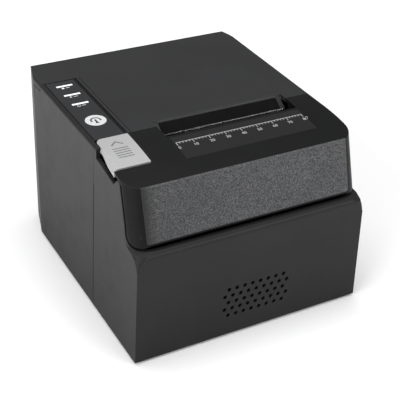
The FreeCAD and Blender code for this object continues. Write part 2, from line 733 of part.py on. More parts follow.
def platen_bushes():
    bushes = []
    for sign in (-1, 1):
        x0, x1 = sorted((sign * (PLATEN_LENGTH / 2 + 1.0), sign * (frame_out + 0.3)))
        bushes.append(rod_x(x0, x1, platen_y, platen_z, BUSH_RADIUS)
                      .cut(rod_x(x0 - 1, x1 + 1, platen_y, platen_z, SHAFT_RADIUS + RUNNING)))
    return Part.makeCompound(bushes)


# ---------------------------------------------------------------- feed train

def polar(y, z, distance, degrees):
    return arc_point((y, z), distance, degrees)


def feed_train():
    """Centres and phases of the platen gear, the idler and the motor's pinion."""
    opening = math.degrees(math.atan2(platen_z - hinge_z, platen_y - hinge_y)) + 90.0
    reach = FEED_MODULE * (PLATEN_TEETH + IDLER_TEETH) / 2 + GEAR_SLACK
    idler = polar(platen_y, platen_z, reach, opening)
    reach = FEED_MODULE * (IDLER_TEETH + PINION_TEETH) / 2 + GEAR_SLACK
    motor = polar(idler[0], idler[1], reach, FEED_MOTOR_WAY)
    idler_phase = meshed_phase(opening, PLATEN_TEETH, IDLER_TEETH, opening)
    pinion_phase = meshed_phase(idler_phase, IDLER_TEETH, PINION_TEETH, FEED_MOTOR_WAY)
    return opening, idler, idler_phase, motor, pinion_phase


def platen_gear():
    phase = feed_train()[0]
    return gear(PLATEN_TEETH, FEED_MODULE, GEAR_WIDTH, gear_x, platen_y, platen_z, phase,
                SHAFT_RADIUS)


def idler_gear():
    centre, phase = feed_train()[1:3]
    return gear(IDLER_TEETH, FEED_MODULE, GEAR_WIDTH, gear_x, centre[0], centre[1], phase,
                1.5 + RUNNING)


def idler_stud():
    y, z = feed_train()[1]
    return fused(rod_x(gear_x - 1.2, -frame_out, y, z, 1.5),
                 rod_x(gear_x - 1.8, gear_x - 0.4, y, z, 2.4),
                 rod_x(gear_x + GEAR_WIDTH + 0.3, -frame_out, y, z, 2.6))


def motor_pinion():
    centre, phase = feed_train()[3:]
    wheel = gear(PINION_TEETH, FEED_MODULE, GEAR_WIDTH, gear_x, centre[0], centre[1], phase, 0.5)
    return fused(wheel, rod_x(gear_x, -frame_out + 3, centre[0], centre[1], 1.5))


def feed_motor():
    y, z = feed_train()[3]
    can = rod_x(-FRAME_INSIDE + 0.02, -FRAME_INSIDE + 20, y, z, 13.0)
    can = can.fuse(rod_x(-FRAME_INSIDE + 20, -FRAME_INSIDE + 21, y, z, 4.0))
    return can.cut(rod_x(-FRAME_INSIDE - 1, -FRAME_INSIDE + 4, y, z, 1.5 + RUNNING)).removeSplitter()


# ---------------------------------------------------------------- print head

def head_face():
    return platen_y - PLATEN_RADIUS - HEAD_GAP


def print_head():
    y = head_face()
    half = PLATEN_LENGTH / 2 + 1.0
    return box(-half, half, y - 1.5, y, platen_z - 9.0, platen_z + 0.7)


def heat_sink():
    y1 = head_face() - 1.5
    y0 = y1 - SINK_THICKNESS
    pivot = (front + HEAD_PIVOT, top - HEAD_PIVOT_DROP)
    half = PLATEN_LENGTH / 2 + 2.0
    sink = box(-half, half, y0, y1, platen_z - 11.0, platen_z + 3.0)
    slots = []
    for level in range(3):
        z = platen_z - 8.5 + level * 3.8
        slots.append(box(-half + 6, half - 6, y0 - 1, y0 + 2.2, z, z + 1.8))
    sink = sink.cut(Part.makeCompound(slots))
    parts = [sink]
    for x in (-22.0, 18.0):
        parts.append(fused(rod_x(x, x + 4, pivot[0], pivot[1], 2.6),
                           box(x, x + 4, pivot[0] - 2.6, pivot[0] + 1.8, pivot[1], platen_z - 10.5)))
    tab_y, tab_z = release_tab()
    parts.append(box(-half - 0.6, -half + 2.0, tab_y - 1.5, y1, tab_z - 1.5, tab_z + 1.5))
    parts.append(rod_x(strip_right - 7.2 - SLOT_OFFSET, -half, tab_y, tab_z, 1.5))
    sink = fused(*parts)
    return sink.cut(rod_x(-60, 60, pivot[0], pivot[1], 1.5 + RUNNING))


def release_tab():
    """Axis of the print head's release tab, as (y, z)."""
    return (front + RELEASE_PLACE, top - RELEASE_DROP)


def head_pivot_rod():
    return rod_x(-frame_out - 0.6, frame_out + 0.6, front + HEAD_PIVOT, top - HEAD_PIVOT_DROP, 1.5)


def head_springs():
    """Two bent leaf springs between the cross plate and the heat sink."""
    y0 = front + CROSS_PLATE + PLATE + 0.05
    y1 = head_face() - 1.5 - SINK_THICKNESS - 0.05
    z = platen_z - 2.0
    springs = []
    for x in (-23.0, 17.0):
        springs.append(prism_x(x, x + 6.0, (y0, z - 6.5), (y1, z - 0.7), (y1, z + 0.7), (y0, z + 6.5),
                               (y0, z + 5.5), (y1 - 0.6, z), (y0, z - 5.5)))
    return Part.makeCompound(springs)


def mechanism_frame():
    """Two steel side plates on the base, a cross plate between them and foot flanges."""
    parts = []
    y0 = front + FRAME_FRONT
    y1 = front + FRAME_REAR
    tab = release_tab()
    motor = feed_train()[3]
    for sign in (-1, 1):
        x0, x1 = sorted((sign * FRAME_INSIDE, sign * frame_out))
        plate = box(x0, x1, y0, y1, base_top, frame_top)
        plate = plate.cut(box(x0 - 1, x1 + 1, y0 + 8, y1 - 8, base_top + 12, base_top + 26))
        r = BUSH_RADIUS + 0.15
        plate = plate.cut(rod_x(x0 - 1, x1 + 1, platen_y, platen_z, r))
        plate = plate.cut(prism_x(x0 - 1, x1 + 1, (platen_y - r, platen_z),
                                  (platen_y - r - 2.5, frame_top + 2), (platen_y + r, frame_top + 2),
                                  (platen_y + r, platen_z)))
        if sign < 0:
            plate = plate.cut(prism_x(x0 - 1, x1 + 1, (tab[0] - 4, tab[1] - 4.5), (tab[0] + 3, tab[1] - 4.5),
                                      (tab[0] + 3, tab[1] + 2.2), (tab[0] - 4, tab[1] + 2.2)))
            plate = plate.cut(rod_x(x0 - 1, x1 + 1, motor[0], motor[1], 3.2))
        if sign > 0:
            plate = plate.cut(rod_x(x0 - 1, x1 + 1, *cutter_places()[0], 2.0 + RUNNING))
        flange = box(*sorted((sign * (FRAME_INSIDE + 0.1), sign * (FRAME_INSIDE - 8))), y0, y1,
                     base_top, base_top + PLATE)
        parts += [plate, flange]
    cross = box(-FRAME_INSIDE, FRAME_INSIDE, front + CROSS_PLATE, front + CROSS_PLATE + PLATE,
                top - 46.0, frame_top)
    cross = cross.cut(box(CUTTER_GEAR_X - 1.5, CUTTER_GEAR_X + 12.5, front, front + 60, top - 38.5, top))
    cross = cross.cut(box(-FRAME_INSIDE, -PLATEN_LENGTH / 2 + 0.6, front, front + 60,
                          tab[1] - 6, frame_top + 1))
    parts.append(cross)
    frame = fused(*parts)
    frame = frame.cut(rod_x(-60, 60, front + HEAD_PIVOT, top - HEAD_PIVOT_DROP, 1.5 + RUNNING))
    return frame


# ---------------------------------------------------------------- cutter

def cutter_places():
    """Centres of the cutter gear and its pinion, and their phases."""
    radius = CUTTER_MODULE * CUTTER_TEETH / 2
    gear_y = front + CUTTER_GEAR_PLACE
    gear_z = top - 15.9 - radius - GEAR_SLACK
    reach = CUTTER_MODULE * (CUTTER_TEETH + CUTTER_PINION_TEETH) / 2 + GEAR_SLACK
    pinion = polar(gear_y, gear_z, reach, CUTTER_MOTOR_WAY)
    phase = meshed_phase(90.0, CUTTER_TEETH, CUTTER_PINION_TEETH, CUTTER_MOTOR_WAY)
    return (gear_y, gear_z), pinion, phase


def cutter_gear():
    y, z = cutter_places()[0]
    wheel = gear(CUTTER_TEETH, CUTTER_MODULE, 5.0, CUTTER_GEAR_X, y, z, 90.0, 1.0)
    grip = rod_x(CUTTER_GEAR_X + 5.0, CUTTER_GEAR_X + 10.0, y, z, 9.6)
    dents = []
    for dent in range(30):
        dy, dz = polar(y, z, 9.9, dent * 12.0)
        dents.append(rod_x(CUTTER_GEAR_X + 5.4, CUTTER_GEAR_X + 11, dy, dz, 0.55))
    grip = grip.cut(Part.makeCompound(dents))
    return fused(wheel, grip, rod_x(CUTTER_GEAR_X - 3.5, frame_out + 0.5, y, z, 2.0))


def cutter_pinion():
    (y, z), phase = cutter_places()[1:]
    wheel = gear(CUTTER_PINION_TEETH, CUTTER_MODULE, 5.0, CUTTER_GEAR_X, y, z, phase, 0.5)
    return fused(wheel, rod_x(CUTTER_GEAR_X - 4.0, CUTTER_GEAR_X + 5.0, y, z, 1.2))


def cutter_motor():
    y, z = cutter_places()[1]
    can = rod_x(CUTTER_GEAR_X - 31.0, CUTTER_GEAR_X - 2.6, y, z, 10.0)
    return can.cut(rod_x(CUTTER_GEAR_X - 5.0, CUTTER_GEAR_X, y, z, 1.2 + RUNNING))


def moving_blade():
    """Sliding blade with its rack; the rack's gap sits on the cutter gear's top tooth."""
    z0 = top - 13.9
    y0 = front + 27.0
    y1 = front + 58.3
    half = PLATEN_LENGTH / 2 + 2.0
    blade = prism_z(z0, z0 + 1.1, (-half, y0), (half, y0), (half, y1), (half - 2, y1),
                    (0, y1 - 3.5), (-half + 2, y1), (-half, y1))
    pitch = math.pi * CUTTER_MODULE
    line = top - 15.9
    foot = line + 1.15 * CUTTER_MODULE
    tip = line - 0.9 * CUTTER_MODULE
    thick = pitch / 4 * TOOTH_FILL
    centre = front + CUTTER_GEAR_PLACE
    rack = [box(CUTTER_GEAR_X + 0.3, CUTTER_GEAR_X + 4.7, y0 + 0.5, y0 + 22.0, foot, z0 + 0.1)]
    for tooth in range(-4, 3):
        y = centre + (tooth + 0.5) * pitch
        rack.append(prism_x(CUTTER_GEAR_X + 0.3, CUTTER_GEAR_X + 4.7,
                            (y - 1.45 * thick, foot + 0.1), (y - thick, line), (y - 0.5 * thick, tip),
                            (y + 0.5 * thick, tip), (y + thick, line), (y + 1.45 * thick, foot + 0.1)))
    return fused(blade, *rack)


def cutter_base():
    """Cutter bed on the frame, with the blade's side rails and the gear's hanger."""
    z0 = frame_top + 0.02
    y0 = front + FRAME_FRONT
    y1 = front + 57.6
    bed = box(-frame_out, frame_out, y0, y1, z0, z0 + 1.0)
    bed = bed.cut(box(CUTTER_GEAR_X - 1.0, CUTTER_GEAR_X + 11.0, y0 + 3, y1 + 1, z0 - 1, z0 + 2))
    half = PLATEN_LENGTH / 2 + 2.3
    parts = [bed]
    for sign in (-1, 1):
        x0, x1 = sorted((sign * half, sign * frame_out))
        parts.append(box(x0, x1, y0, y1, z0, top - 11.8))
        x2, x3 = sorted((sign * (half - 3.0), sign * frame_out))
        parts.append(box(x2, x3, y0, y1, top - 12.6, top - 11.6))
    gear_at, pinion_at = cutter_places()[:2]
    hanger = box(CUTTER_GEAR_X - 2.4, CUTTER_GEAR_X - 1.2, front + 15.0, front + 42.9,
                 top - 44.0, z0 + 0.5)
    parts.append(hanger)
    base = fused(*parts)
    base = base.cut(rod_x(0, CUTTER_GEAR_X, gear_at[0], gear_at[1], 2.0 + RUNNING))
    return base.cut(rod_x(0, CUTTER_GEAR_X, pinion_at[0], pinion_at[1], 1.2 + RUNNING + 0.1))


# ---------------------------------------------------------------- lever, strip and button

def release_lever():
    """Lever plate flush with the cover's top, with a sloping side skirt and pin bosses."""
    x0 = strip_left + 0.6
    x1 = strip_right - SHELL_GAP
    y0 = front + LEVER_FRONT
    y1 = front + LID_FRONT - SHELL_GAP
    middle = (y0 + y1) / 2
    under = LEVER_PLATE
    plate = prism_x(x0, x1, (y0, crown_z(y0, LEVER_SKIRT * 0.75)), (y0, crown_z(y0)),
                    ((middle, crown_z(middle)), (y1, crown_z(y1))), (y1, crown_z(y1, under)),
                    ((middle, crown_z(middle, under)), (y0 + 1.5, crown_z(y0 + 1.5, under))),
                    (y0 + 1.5, crown_z(y0, LEVER_SKIRT * 0.75)))
    skirt_x = -side_x(top) + 0.5
    skirt = prism_x(skirt_x, x0 + 1.6, (y0, crown_z(y0, LEVER_SKIRT)), (y0, crown_z(y0)),
                    ((middle, crown_z(middle)), (y1, crown_z(y1))), (y1, crown_z(y1, under)),
                    (front + 50.0, crown_z(y1, under)))
    skirt = skirt.common(box(-half_width, 0, front, front + 53.5, 0, top + 1))
    slope = prism_y(y0 - 1, y1 + 1, (skirt_x - 1, top + 1), (x0 + 0.2, top + 1), (x0 + 0.2, top - 0.2),
                    (skirt_x + 0.2, top - LEVER_SKIRT), (skirt_x + 0.2, top - 9), (skirt_x - 1, top - 9))
    skirt = skirt.cut(slope)
    lever = plate.fuse(skirt)
    corner = LEVER_CORNER
    bend = corner * (1 - math.sqrt(0.5))
    trim = prism_z(top - 12, top + 2, (x0 - 4, y1 - corner), (x0, y1 - corner),
                   ((x0 + bend, y1 - bend), (x0 + corner, y1)), (x0 + corner, y1 + 2), (x0 - 4, y1 + 2))
    lever = lever.cut(trim)
    boss0 = strip_left + 3.0
    boss1 = strip_right - 4.0
    for x in (boss0, boss1 - 4.0):
        lever = lever.fuse(fused(rod_x(x, x + 4.0, lever_y, lever_z, 2.3),
                                 box(x, x + 4.0, lever_y - 2.3, lever_y + 1.8, lever_z,
                                     top - under + 0.4)))
    return lever.cut(rod_x(-half_width, 0, lever_y, lever_z, PIN_RADIUS + RUNNING)).removeSplitter()


def release_arm():
    """Arm under the lever that bears on the print head's release tab."""
    x0 = strip_right - 6.8
    y, tab_z = release_tab()
    z1 = crown_z(y, LEVER_PLATE) + 0.02
    z0 = tab_z + 1.5 + RELEASE_PLAY
    arm = box(x0, x0 + 2.0, y - 2.0, y + 2.0, z0, z1 + 0.6)
    foot = box(x0 - 1.0, x0 + 3.0, y - 4.0, y + 4.0, z1 - 1.6, z1 + 0.6)
    return fused(arm, foot).cut(release_lever()).Solids[0]


def lever_pin():
    return rod_x(-side_x(top) + 1.3, strip_right - 1.4, lever_y, lever_z, PIN_RADIUS)


def lever_spring():
    z0 = top - 16.5
    y = front + 38.0
    return coil(strip_left + 6.0, y, z0 + 0.1, 2.2, 0.3, crown_z(y, LEVER_PLATE) - z0 - 0.3, 5,
                vec(0, 0, 1))


def control_strip():
    strip = box(strip_left, strip_right - SHELL_GAP, front + LID_FRONT - 0.2, front + STRIP_REAR,
                top - STRIP_THICKNESS, top - 0.05)
    for place in BAR_PLACES:
        strip = strip.cut(box(strip_middle - BAR_LENGTH / 2, strip_middle + BAR_LENGTH / 2,
                              front + place - BAR_WIDTH / 2, front + place + BAR_WIDTH / 2,
                              top - 4, top + 1))
    return strip.cut(rod_z(strip_middle, front + BUTTON_PLACE, top - 4, top + 1,
                           BUTTON_RADIUS + 0.25))


def light_bars():
    bars = []
    for place in BAR_PLACES:
        bars.append(box(strip_middle - BAR_LENGTH / 2 + 0.03, strip_middle + BAR_LENGTH / 2 - 0.03,
                        front + place - BAR_WIDTH / 2 + 0.03, front + place + BAR_WIDTH / 2 - 0.03,
                        top - 5.0, top))
    return Part.makeCompound(bars)


def feed_button():
    y = front + BUTTON_PLACE
    cap = rod_z(strip_middle, y, top - STRIP_THICKNESS + BUTTON_TRAVEL + 0.1, top + BUTTON_PROUD - 0.9,
                BUTTON_RADIUS)
    return fused(cap, rod_z(strip_middle, y, top - 6.3, top - 1, 1.9))


def key_dome():
    """Spring dome of the key switch, under the button's stem."""
    y = front + BUTTON_PLACE
    z0 = top - 7.6
    return Part.makeCone(2.4, 1.6, 0.55, vec(strip_middle, y, z0))


def panel_board():
    """Small board under the control strip, with the lamps and the key switch."""
    x0 = strip_left + 2.0
    x1 = strip_right - 2.5
    z1 = top - 7.6
    board = box(x0, x1, front + 72, front + 134, z1 - 1.2, z1)
    parts = [board]
    for place in BAR_PLACES:
        parts.append(box(strip_middle - 1.5, strip_middle + 1.5, front + place - 1.0,
                         front + place + 1.0, z1 - 0.1, top - 5.1))
    for y in (front + 75, front + 95):
        parts.append(rod_z(strip_middle, y, z1 - 0.1, top - STRIP_THICKNESS - 2.3, 1.6))
    return fused(*parts)


# ---------------------------------------------------------------- base contents

def paper_bucket():
    """Drop-in trough for the paper roll."""
    x = BUCKET_HALF + BUCKET_WALL
    high = bucket_z + 14.0
    outside = rod_x(-x, x, bucket_y, bucket_z, bucket_radius)
    outside = outside.fuse(box(-x, x, bucket_y - bucket_radius, bucket_y + bucket_radius,
                               bucket_z, high))
    r = bucket_radius - BUCKET_WALL
    inside = rod_x(-BUCKET_HALF, BUCKET_HALF, bucket_y, bucket_z, r)
    inside = inside.fuse(box(-BUCKET_HALF, BUCKET_HALF, bucket_y - r, bucket_y + r, bucket_z,
                             high + bucket_radius))
    above = box(-x - 1, x + 1, front, rear, high, top + bucket_radius)
    return outside.cut(inside).cut(above).removeSplitter()


def paper_sensor():
    y = bucket_y
    z = bucket_z - bucket_radius
    return box(8.0, 18.0, y - 5, y + 5, z - 3.6, z - 0.1)


def main_board():
    z0 = board_top - BOARD_THICKNESS
    board = box(-54.0, 54.0, rear - 57.0, rear - WALL - FIT, z0, board_top)
    parts = [board, box(-30.0, -18.0, rear - 50, rear - 38, board_top - 0.1, board_top + 1.4),
             box(2.0, 14.0, rear - 34, rear - 26, board_top - 0.1, board_top + 1.6)]
    for x in (-48.0, -38.5):
        parts.append(rod_z(x, rear - 30, board_top - 0.1, board_top + 10, 4.0))
    return fused(*parts)


def socket(x, half, z0, z1, cavity_half, cavity_z0, cavity_z1, depth):
    y1 = rear - 0.6
    shell = box(x - half, x + half, rear - WALL - 12, y1, z0 + 0.02, z1)
    return shell.cut(box(x - cavity_half, x + cavity_half, y1 - depth, y1 + 1, cavity_z0, cavity_z1))


def power_inlet():
    x, half, z0, z1 = socket_windows()[0]
    y1 = rear - 0.6
    z = (z0 + z1) / 2
    shell = box(x - half, x + half, rear - WALL - 12, y1, z0 + 0.02, z1)
    shell = shell.cut(rod_y(x, y1 - 9, y1 + 1, z, 3.2))
    return shell.fuse(rod_y(x, y1 - 9.5, y1 - 1, z, 1.0))


def data_socket():
    x, half, z0, z1 = socket_windows()[1]
    shell = socket(x, half, z0, z1, 4.3, z0 + 1.6, z0 + 9.4, 9)
    return shell.fuse(box(x - 2.8, x + 2.8, rear - 10.5, rear - 1.4, z0 + 3.9, z0 + 7.1))


def network_socket():
    x, half, z0, z1 = socket_windows()[2]
    return socket(x, half, z0, z1, 5.9, z0 + 1.6, z0 + 8.6, 10)


def drawer_socket():
    x, half, z0, z1 = socket_windows()[3]
    return socket(x, half, z0, z1, 4.9, z0 + 1.6, z0 + 8.4, 10)


def switch_bezel():
    x0, x1, y0, y1, z0, z1 = switch_box(0.0)
    body = box(x0, x1, y0, y1 - 0.2, z0, z1)
    return body.cut(box(x0 + 1.2, x1 - 1.2, y0 + 1.5, y1 + 1, z0 + 1.2, z1 - 1.2))


def rocker_axis():
    y1, z0, z1 = switch_box(0.0)[3:]
    return (y1 - 5.0, (z0 + z1) / 2)


def power_rocker():
    """Two-way rocker, at rest with its lower half pressed in."""
    x0, x1 = switch_box(0.0)[:2]
    z0, z1 = switch_box(0.0)[4:]
    y, z = rocker_axis()
    half = (z1 - z0) / 2 - 1.9
    rocker = prism_x(x0 + 1.5, x1 - 1.5, (y - 1.5, z - half + 0.6), (y + 3.4, z - half),
                     (y + 2.3, z), (y + 3.4, z + half), (y - 1.5, z + half - 0.6))
    rocker = rocker.fuse(rod_x(x0 + 1.22, x1 - 1.22, y, z, 1.2))
    rocker.rotate(vec(0, y, z), vec(1, 0, 0), -8.0)
    return rocker.removeSplitter()


def sounder():
    """Sounder can against the inside of the grille."""
    y0 = front + WALL + 1.3
    z = FOOT_DROP + GRILLE_Z
    return fused(rod_y(GRILLE_X, y0, y0 + 6.0, z, 14.0), rod_y(GRILLE_X, y0 + 6.0, y0 + 10.0, z, 6.0))


def sounder_clip():
    """Bracket that holds the sounder on the base."""
    y0 = front + WALL + 7.4
    z = FOOT_DROP + GRILLE_Z
    return box(GRILLE_X - 8, GRILLE_X + 8, y0, y0 + 1.5, base_top, z + 3).cut(
        rod_y(GRILLE_X, y0 - 1, y0 + 3, z, 6.05))


NODES = {
    "base_tray": lambda outer, inner: base_tray(inner),
    "rear_case": rear_case,
    "front_case": front_case,
    "rubber_feet": lambda outer, inner: rubber_feet(),
    "case_screws": lambda outer, inner: case_screws(),
    "cutter_cover": cutter_cover,
    "front_inlay": lambda outer, inner: front_inlay(outer),
    "notice_film": lambda outer, inner: film_space(0.0),
    "cover_pins": lambda outer, inner: cover_pins(),
    "paper_lid": paper_lid,
}
PLAIN_NODES = (
    lid_pins, lid_liner, blade_holder, tear_edge, release_lever, release_arm, lever_pin,
    lever_spring, control_strip, light_bars, feed_button, key_dome, panel_board, main_board,
    power_inlet, data_socket, network_socket, drawer_socket, switch_bezel, power_rocker, sounder,
    sounder_clip,
)
# Drawn about the middle of the paper, then moved sideways to the slot's middle.
PAPER_PATH = (
    fixed_blade, platen_shaft, platen_rubber, platen_bushes, platen_gear, idler_gear, idler_stud,
    motor_pinion, feed_motor, print_head, heat_sink, head_pivot_rod, head_springs,
    mechanism_frame, cutter_gear, cutter_pinion, cutter_motor, moving_blade, cutter_base,
    paper_bucket, paper_sensor,
)


def main():
    os.makedirs("parts", exist_ok=True)
    outer = envelope(0.0)
    inner = envelope(WALL)
    for name, make in NODES.items():
        make(outer, inner).exportStep("parts/" + name + ".step")
    for make in PLAIN_NODES:
        make().exportStep("parts/" + make.__name__ + ".step")
    for make in PAPER_PATH:
        make().translated(vec(SLOT_OFFSET, 0, 0)).exportStep("parts/" + make.__name__ + ".step")


main()
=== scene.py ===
"""Desktop receipt printer: its finishes, printed marks, small contacts and studio.

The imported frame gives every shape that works. This script dresses each of its nodes in a
finish, adds the thin printed and engraved marks that lie on them, and sets up the studio.
"""

import json
import logging
import math
from collections.abc import Iterable, Mapping
from dataclasses import dataclass, field
from enum import Enum

import bmesh
import bpy
from mathutils import Matrix, Vector
from mathutils.bvhtree import BVHTree


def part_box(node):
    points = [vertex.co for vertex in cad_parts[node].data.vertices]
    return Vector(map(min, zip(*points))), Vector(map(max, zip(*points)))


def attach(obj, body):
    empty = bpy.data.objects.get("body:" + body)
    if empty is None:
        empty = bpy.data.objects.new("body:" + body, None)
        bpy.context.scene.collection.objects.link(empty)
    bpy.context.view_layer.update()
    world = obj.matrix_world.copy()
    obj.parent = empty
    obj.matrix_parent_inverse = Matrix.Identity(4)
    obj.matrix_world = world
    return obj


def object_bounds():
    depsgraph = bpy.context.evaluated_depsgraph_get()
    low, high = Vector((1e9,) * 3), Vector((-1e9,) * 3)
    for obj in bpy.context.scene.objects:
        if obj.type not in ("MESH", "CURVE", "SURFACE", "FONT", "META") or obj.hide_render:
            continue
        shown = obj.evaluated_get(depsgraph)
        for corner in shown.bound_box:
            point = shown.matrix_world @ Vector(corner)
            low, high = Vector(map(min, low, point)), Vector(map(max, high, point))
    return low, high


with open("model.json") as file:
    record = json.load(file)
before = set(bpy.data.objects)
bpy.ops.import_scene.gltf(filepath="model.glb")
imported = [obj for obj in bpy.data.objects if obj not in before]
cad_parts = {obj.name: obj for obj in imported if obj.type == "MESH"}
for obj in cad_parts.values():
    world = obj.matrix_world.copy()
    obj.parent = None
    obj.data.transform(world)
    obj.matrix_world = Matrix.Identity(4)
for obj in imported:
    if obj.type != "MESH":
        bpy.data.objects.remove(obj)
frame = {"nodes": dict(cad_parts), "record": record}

CAD_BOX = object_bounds()
MM = 0.001
log = logging.getLogger("printer")

Colour = tuple[float, float, float]
Spot = tuple[float, float]


class Axis(Enum):
    """Which way the fine lines of a ground or rolled metal run."""

    ALONG_X = (60.0, 2600.0, 2600.0)
    ALONG_Y = (2600.0, 60.0, 2600.0)
    ALONG_Z = (2600.0, 2600.0, 60.0)


# ---------------------------------------------------------------- shader maths


class Wire:
    """One value in a shader. Arithmetic on it adds the Math nodes that work it out."""

    def __init__(self, shader: "Shader", socket: bpy.types.NodeSocket) -> None:
        """Wrap an output socket.

        Args:
            shader: The shader that the socket belongs to.
            socket: The output socket to read.
        """
        self.shader = shader
        self.socket = socket

    def _maths(self, operation: str, first: "Wire | float", second: "Wire | float") -> "Wire":
        """Add a Math node.

        Args:
            operation: The node's operation.
            first: Its first value.
            second: Its second value.

        Returns:
            The result as a wire.
        """
        return self.shader.node("ShaderNodeMath", {"operation": operation}, {0: first, 1: second})

    def __add__(self, other: "Wire | float") -> "Wire":
        """Add."""
        return self._maths("ADD", self, other)

    def __radd__(self, other: float) -> "Wire":
        """Add, with the number on the left."""
        return self._maths("ADD", other, self)

    def __sub__(self, other: "Wire | float") -> "Wire":
        """Take away."""
        return self._maths("SUBTRACT", self, other)

    def __rsub__(self, other: float) -> "Wire":
        """Take this value from a number."""
        return self._maths("SUBTRACT", other, self)

    def __mul__(self, other: "Wire | float") -> "Wire":
        """Multiply."""
        return self._maths("MULTIPLY", self, other)

    def __rmul__(self, other: float) -> "Wire":
        """Multiply, with the number on the left."""
        return self._maths("MULTIPLY", other, self)

    def __truediv__(self, other: "Wire | float") -> "Wire":
        """Divide."""
        return self._maths("DIVIDE", self, other)


class Shader:
    """A new material's node tree, ending in one Principled shader."""

    def __init__(self, name: str) -> None:
        """Make the material and its main nodes.

        Args:
            name: The material's name.
        """
        self.material = bpy.data.materials.new(name)
        self.material.use_nodes = True
        self.tree = self.material.node_tree
        self.tree.nodes.clear()
        self.surface = self.tree.nodes.new("ShaderNodeBsdfPrincipled")
        output = self.tree.nodes.new("ShaderNodeOutputMaterial")
        self.tree.links.new(self.surface.outputs["BSDF"], output.inputs["Surface"])
        self.place = self.node("ShaderNodeTexCoord", {}, {}, out="Object")

    def node(self, kind: str, settings: Mapping, inputs: Mapping, out: str | int = 0) -> Wire:
        """Add one node, set it up and feed its sockets.

        Args:
            kind: The node's type.
            settings: Its own settings; "stops" holds a ramp's places and grey levels.
            inputs: Values or wires by socket name or number.
            out: The output to read.

        Returns:
            The chosen output.
        """
        node = self.tree.nodes.new(kind)
        for name, value in settings.items():
            if name == "stops":
                self._set_stops(node.color_ramp, value)
            else:
                setattr(node, name, value)
        for name, value in inputs.items():
            self.feed(node.inputs[name], value)
        return Wire(self, node.outputs[out])

    @staticmethod
    def _set_stops(ramp: bpy.types.ColorRamp, stops: Iterable[tuple[float, float]]) -> None:
        """Give a ramp its places and grey levels.

        Args:
            ramp: The ramp.
            stops: Each stop's place and grey level.
        """
        stops = list(stops)
        while len(ramp.elements) < len(stops):
            ramp.elements.new(0.5)
        for element, (at, level) in zip(ramp.elements, stops):
            element.position = at
            element.color = (level, level, level, 1.0)

    def feed(self, socket: bpy.types.NodeSocket, value: "Wire | float | tuple") -> None:
        """Link a wire to a socket, or set the socket's own value.

        Args:
            socket: The input socket.
            value: The wire or value.
        """
        if isinstance(value, Wire):
            self.tree.links.new(value.socket, socket)
        elif isinstance(value, tuple) and len(value) == 3 and len(socket.default_value) == 4:
            socket.default_value = (*value, 1.0)
        else:
            socket.default_value = value

    def blend(self, share: "Wire | float", first: "Wire | tuple", second: "Wire | tuple") -> Wire:
        """Mix two colours.

        Args:
            share: How much of the second colour shows.
            first: The colour at 0.
            second: The colour at 1.

        Returns:
            The mixed colour.
        """
        colour_inputs = {0: share, 6: first, 7: second}
        return self.node("ShaderNodeMix", {"data_type": "RGBA"}, colour_inputs, out=2)

    def noise(self, size: float, detail: float = 2.0, stretch: tuple | None = None) -> Wire:
        """Noise whose features are about one size.

        Args:
            size: Feature size in metres.
            detail: Octaves of finer noise.
            stretch: Scale along each axis, in place of an even one.

        Returns:
            The noise, around 0.5.
        """
        if stretch is None:
            return self.node("ShaderNodeTexNoise", {}, {"Vector": self.place, "Scale": 1.0 / size,
                                                        "Detail": detail})
        spread = self.node("ShaderNodeMapping", {}, {"Vector": self.place, "Scale": stretch})
        return self.node("ShaderNodeTexNoise", {}, {"Vector": spread, "Scale": 1.0, "Detail": detail})

    def ramp(self, value: Wire, stops: Iterable[tuple[float, float]]) -> Wire:
        """Reshape a value through grey stops.

        Args:
            value: The value.
            stops: Each stop's place and grey level.

        Returns:
            The reshaped value.
        """
        return self.node("ShaderNodeValToRGB", {"stops": tuple(stops)}, {"Fac": value})

    def worn_edge(self, radius: float) -> tuple[Wire, Wire]:
        """Soften edges and find them.

        Args:
            radius: Radius of the softened edge in metres.

        Returns:
            The softened normal, and a mask that is 1 on sharp edges.
        """
        soft = self.node("ShaderNodeBevel", {"samples": 6}, {"Radius": radius})
        true = self.node("ShaderNodeNewGeometry", {}, {}, out="Normal")
        along = self.node("ShaderNodeVectorMath", {"operation": "DOT_PRODUCT"},
                          {0: soft, 1: true}, out="Value")
        return soft, self.ramp(1.0 - along, ((0.01, 0.0), (0.22, 1.0)))

    def raised(self, height: Wire, depth: float, strength: float, normal: Wire) -> Wire:
        """Bump a surface.

        Args:
            height: Height from 0 to 1.
            depth: What a height of 1 stands for, in metres.
            strength: How much of the bump shows.
            normal: The normal to start from.

        Returns:
            The bumped normal.
        """
        return self.node("ShaderNodeBump", {}, {"Height": height, "Distance": depth,
                                                "Strength": strength, "Normal": normal})

    def finish(self, **sockets: "Wire | float | tuple") -> bpy.types.Material:
        """Feed the Principled shader and return the material.

        Args:
            **sockets: Values by socket name, with underscores for spaces.

        Returns:
            The finished material.
        """
        for name, value in sockets.items():
            self.feed(self.surface.inputs[name.replace("_", " ")], value)
        return self.material


# ---------------------------------------------------------------- finishes


